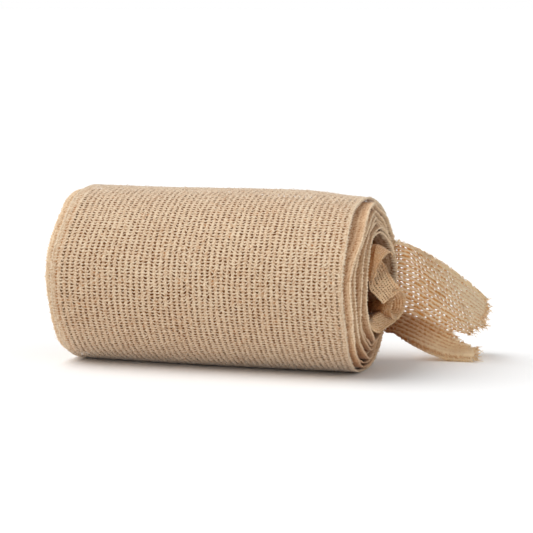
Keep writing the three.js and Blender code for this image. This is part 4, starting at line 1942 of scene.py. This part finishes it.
@dataclass(frozen=True)
class Studio:
    """The camera, floor and light.

    The camera's distance and target are millimetres, and its clip_end and the floor_reach are metres.
    The sky is white at the horizon, where the camera sees it, and grey from sky_low to sky_high above.
    """

    azimuth: float = 19.88
    elevation: float = 6.67
    distance: float = 699.2
    target: tuple[float, float, float] = (12.75, 0.0, 31.5)
    lens: float = 150.48
    sensor: float = 36.0
    clip_end: float = 200.0
    floor_reach: float = 60.0
    sky_low: float = 0.87
    sky_high: float = 0.52
    horizon: Span = (0.006, 0.02)
    sky_rise: float = 0.2
    sun_strength: float = 2.2
    sun_angle: float = 58.0
    sun_tilt_back: float = -17.0
    sun_tilt_side: float = -30.0
    fill_strength: float = 0.27
    fill_angle: float = 60.0
    fill_from: tuple[float, float, float] = (0.78, -0.50, 0.36)

    def camera(self) -> None:
        """Put the camera where the photograph was taken from."""
        data = bpy.data.cameras.new("camera")
        data.lens = self.lens
        data.sensor_width = self.sensor
        data.clip_end = self.clip_end
        a, e = math.radians(self.azimuth), math.radians(self.elevation)
        away = Vector((math.sin(a) * math.cos(e), -math.cos(a) * math.cos(e), math.sin(e)))
        camera = bpy.data.objects.new("camera", data)
        camera.location = (Vector(self.target) + away * self.distance) * MM
        camera.rotation_euler = away.to_track_quat("Z", "Y").to_euler()
        bpy.context.scene.collection.objects.link(camera)
        bpy.context.scene.camera = camera

    def floor(self) -> None:
        """Lay the white paper."""
        bm = bmesh.new()
        bmesh.ops.create_grid(bm, x_segments=1, y_segments=1, size=self.floor_reach)
        mesh = written(bm, "floor")
        mesh.materials.append(FloorFinish().material())
        floor = bpy.data.objects.new("floor", mesh)
        bpy.context.scene.collection.objects.link(floor)

    def lamp(self, name: str, strength: float, angle: float, place: Vector) -> None:
        """Add a wide soft lamp that shines from a direction.

        Args:
            name: The lamp's name.
            strength: How bright it is.
            angle: How wide it looks, in degrees.
            place: The direction that it shines from.
        """
        sun = bpy.data.lights.new(name, "SUN")
        sun.energy = strength
        sun.angle = math.radians(angle)
        lamp = bpy.data.objects.new(name, sun)
        lamp.rotation_euler = place.to_track_quat("Z", "Y").to_euler()
        bpy.context.scene.collection.objects.link(lamp)

    def light(self) -> None:
        """Light the set softly from above and the front left, with a weak fill from the right."""
        back, side = math.radians(self.sun_tilt_back), math.radians(self.sun_tilt_side)
        above = Vector((math.sin(side), math.sin(back) * math.cos(side), math.cos(back) * math.cos(side)))
        self.lamp("soft_top", self.sun_strength, self.sun_angle, above)
        self.lamp("soft_fill", self.fill_strength, self.fill_angle, Vector(self.fill_from))
        world = bpy.data.worlds.new("studio")
        world.use_nodes = True
        bpy.context.scene.world = world
        maker = NodeMaker(world.node_tree)
        way = maker.add("ShaderNodeTexCoord", output="Generated")
        height = maker.add("ShaderNodeSeparateXYZ", None, {0: way}, output="Z")
        white, low, high = ((grey, grey, grey, 1.0) for grey in (1.0, self.sky_low, self.sky_high))
        white_stop, low_stop = self.horizon
        stops = [(0.0, white), (white_stop, white), (low_stop, low), (self.sky_rise, high), (1.0, high)]
        colour = maker.add("ShaderNodeValToRGB", {"stops": stops}, {"Fac": height})
        sky = maker.add("ShaderNodeBackground", None, {"Color": colour, "Strength": 1.0})
        maker.add("ShaderNodeOutputWorld", None, {"Surface": sky})

    def build(self) -> None:
        """Set up everything that isn't part of the roll."""
        self.camera()
        self.floor()
        self.light()
        bpy.context.scene.view_settings.view_transform = "Standard"


def report(pieces: list[bpy.types.Object]) -> None:
    """Log each piece and its size.

    Args:
        pieces: The pieces that are ready.
    """
    for piece in pieces:
        piece.data.calc_loop_triangles()
        LOG.info("%s: %d triangles", piece.name, len(piece.data.loop_triangles))


def main() -> None:
    """Build the roll and its set."""
    logging.basicConfig(level=logging.INFO, format="%(message)s")
    Studio().build()
    crepe, inner, thin, folded, shade = (finish.material() for finish in FINISHES)
    winding = Winding()
    report([OuterTurn(winding).build(crepe)])
    report([InnerTurns(winding).build(inner)])
    for end in End:
        report(Core(winding, end).build(folded, shade))
    report(LooseEnd(winding).build(thin))
    folds = {f"core_{fold.name}_{end.value}": FOLD_FUZZ for fold in CORE_FOLDS for end in End}
    fuzz = Fuzz().grow("fuzz", {"outer_turn": OUTER_FUZZ, "inner_turns": INNER_FUZZ, **folds}, crepe)
    thin_fuzz = Fuzz(short=0.4, long=1.6).grow("tail_fuzz", {"tail": TAIL_FUZZ}, thin)
    report([fuzz, thin_fuzz])


if __name__ == "__main__":
    main()
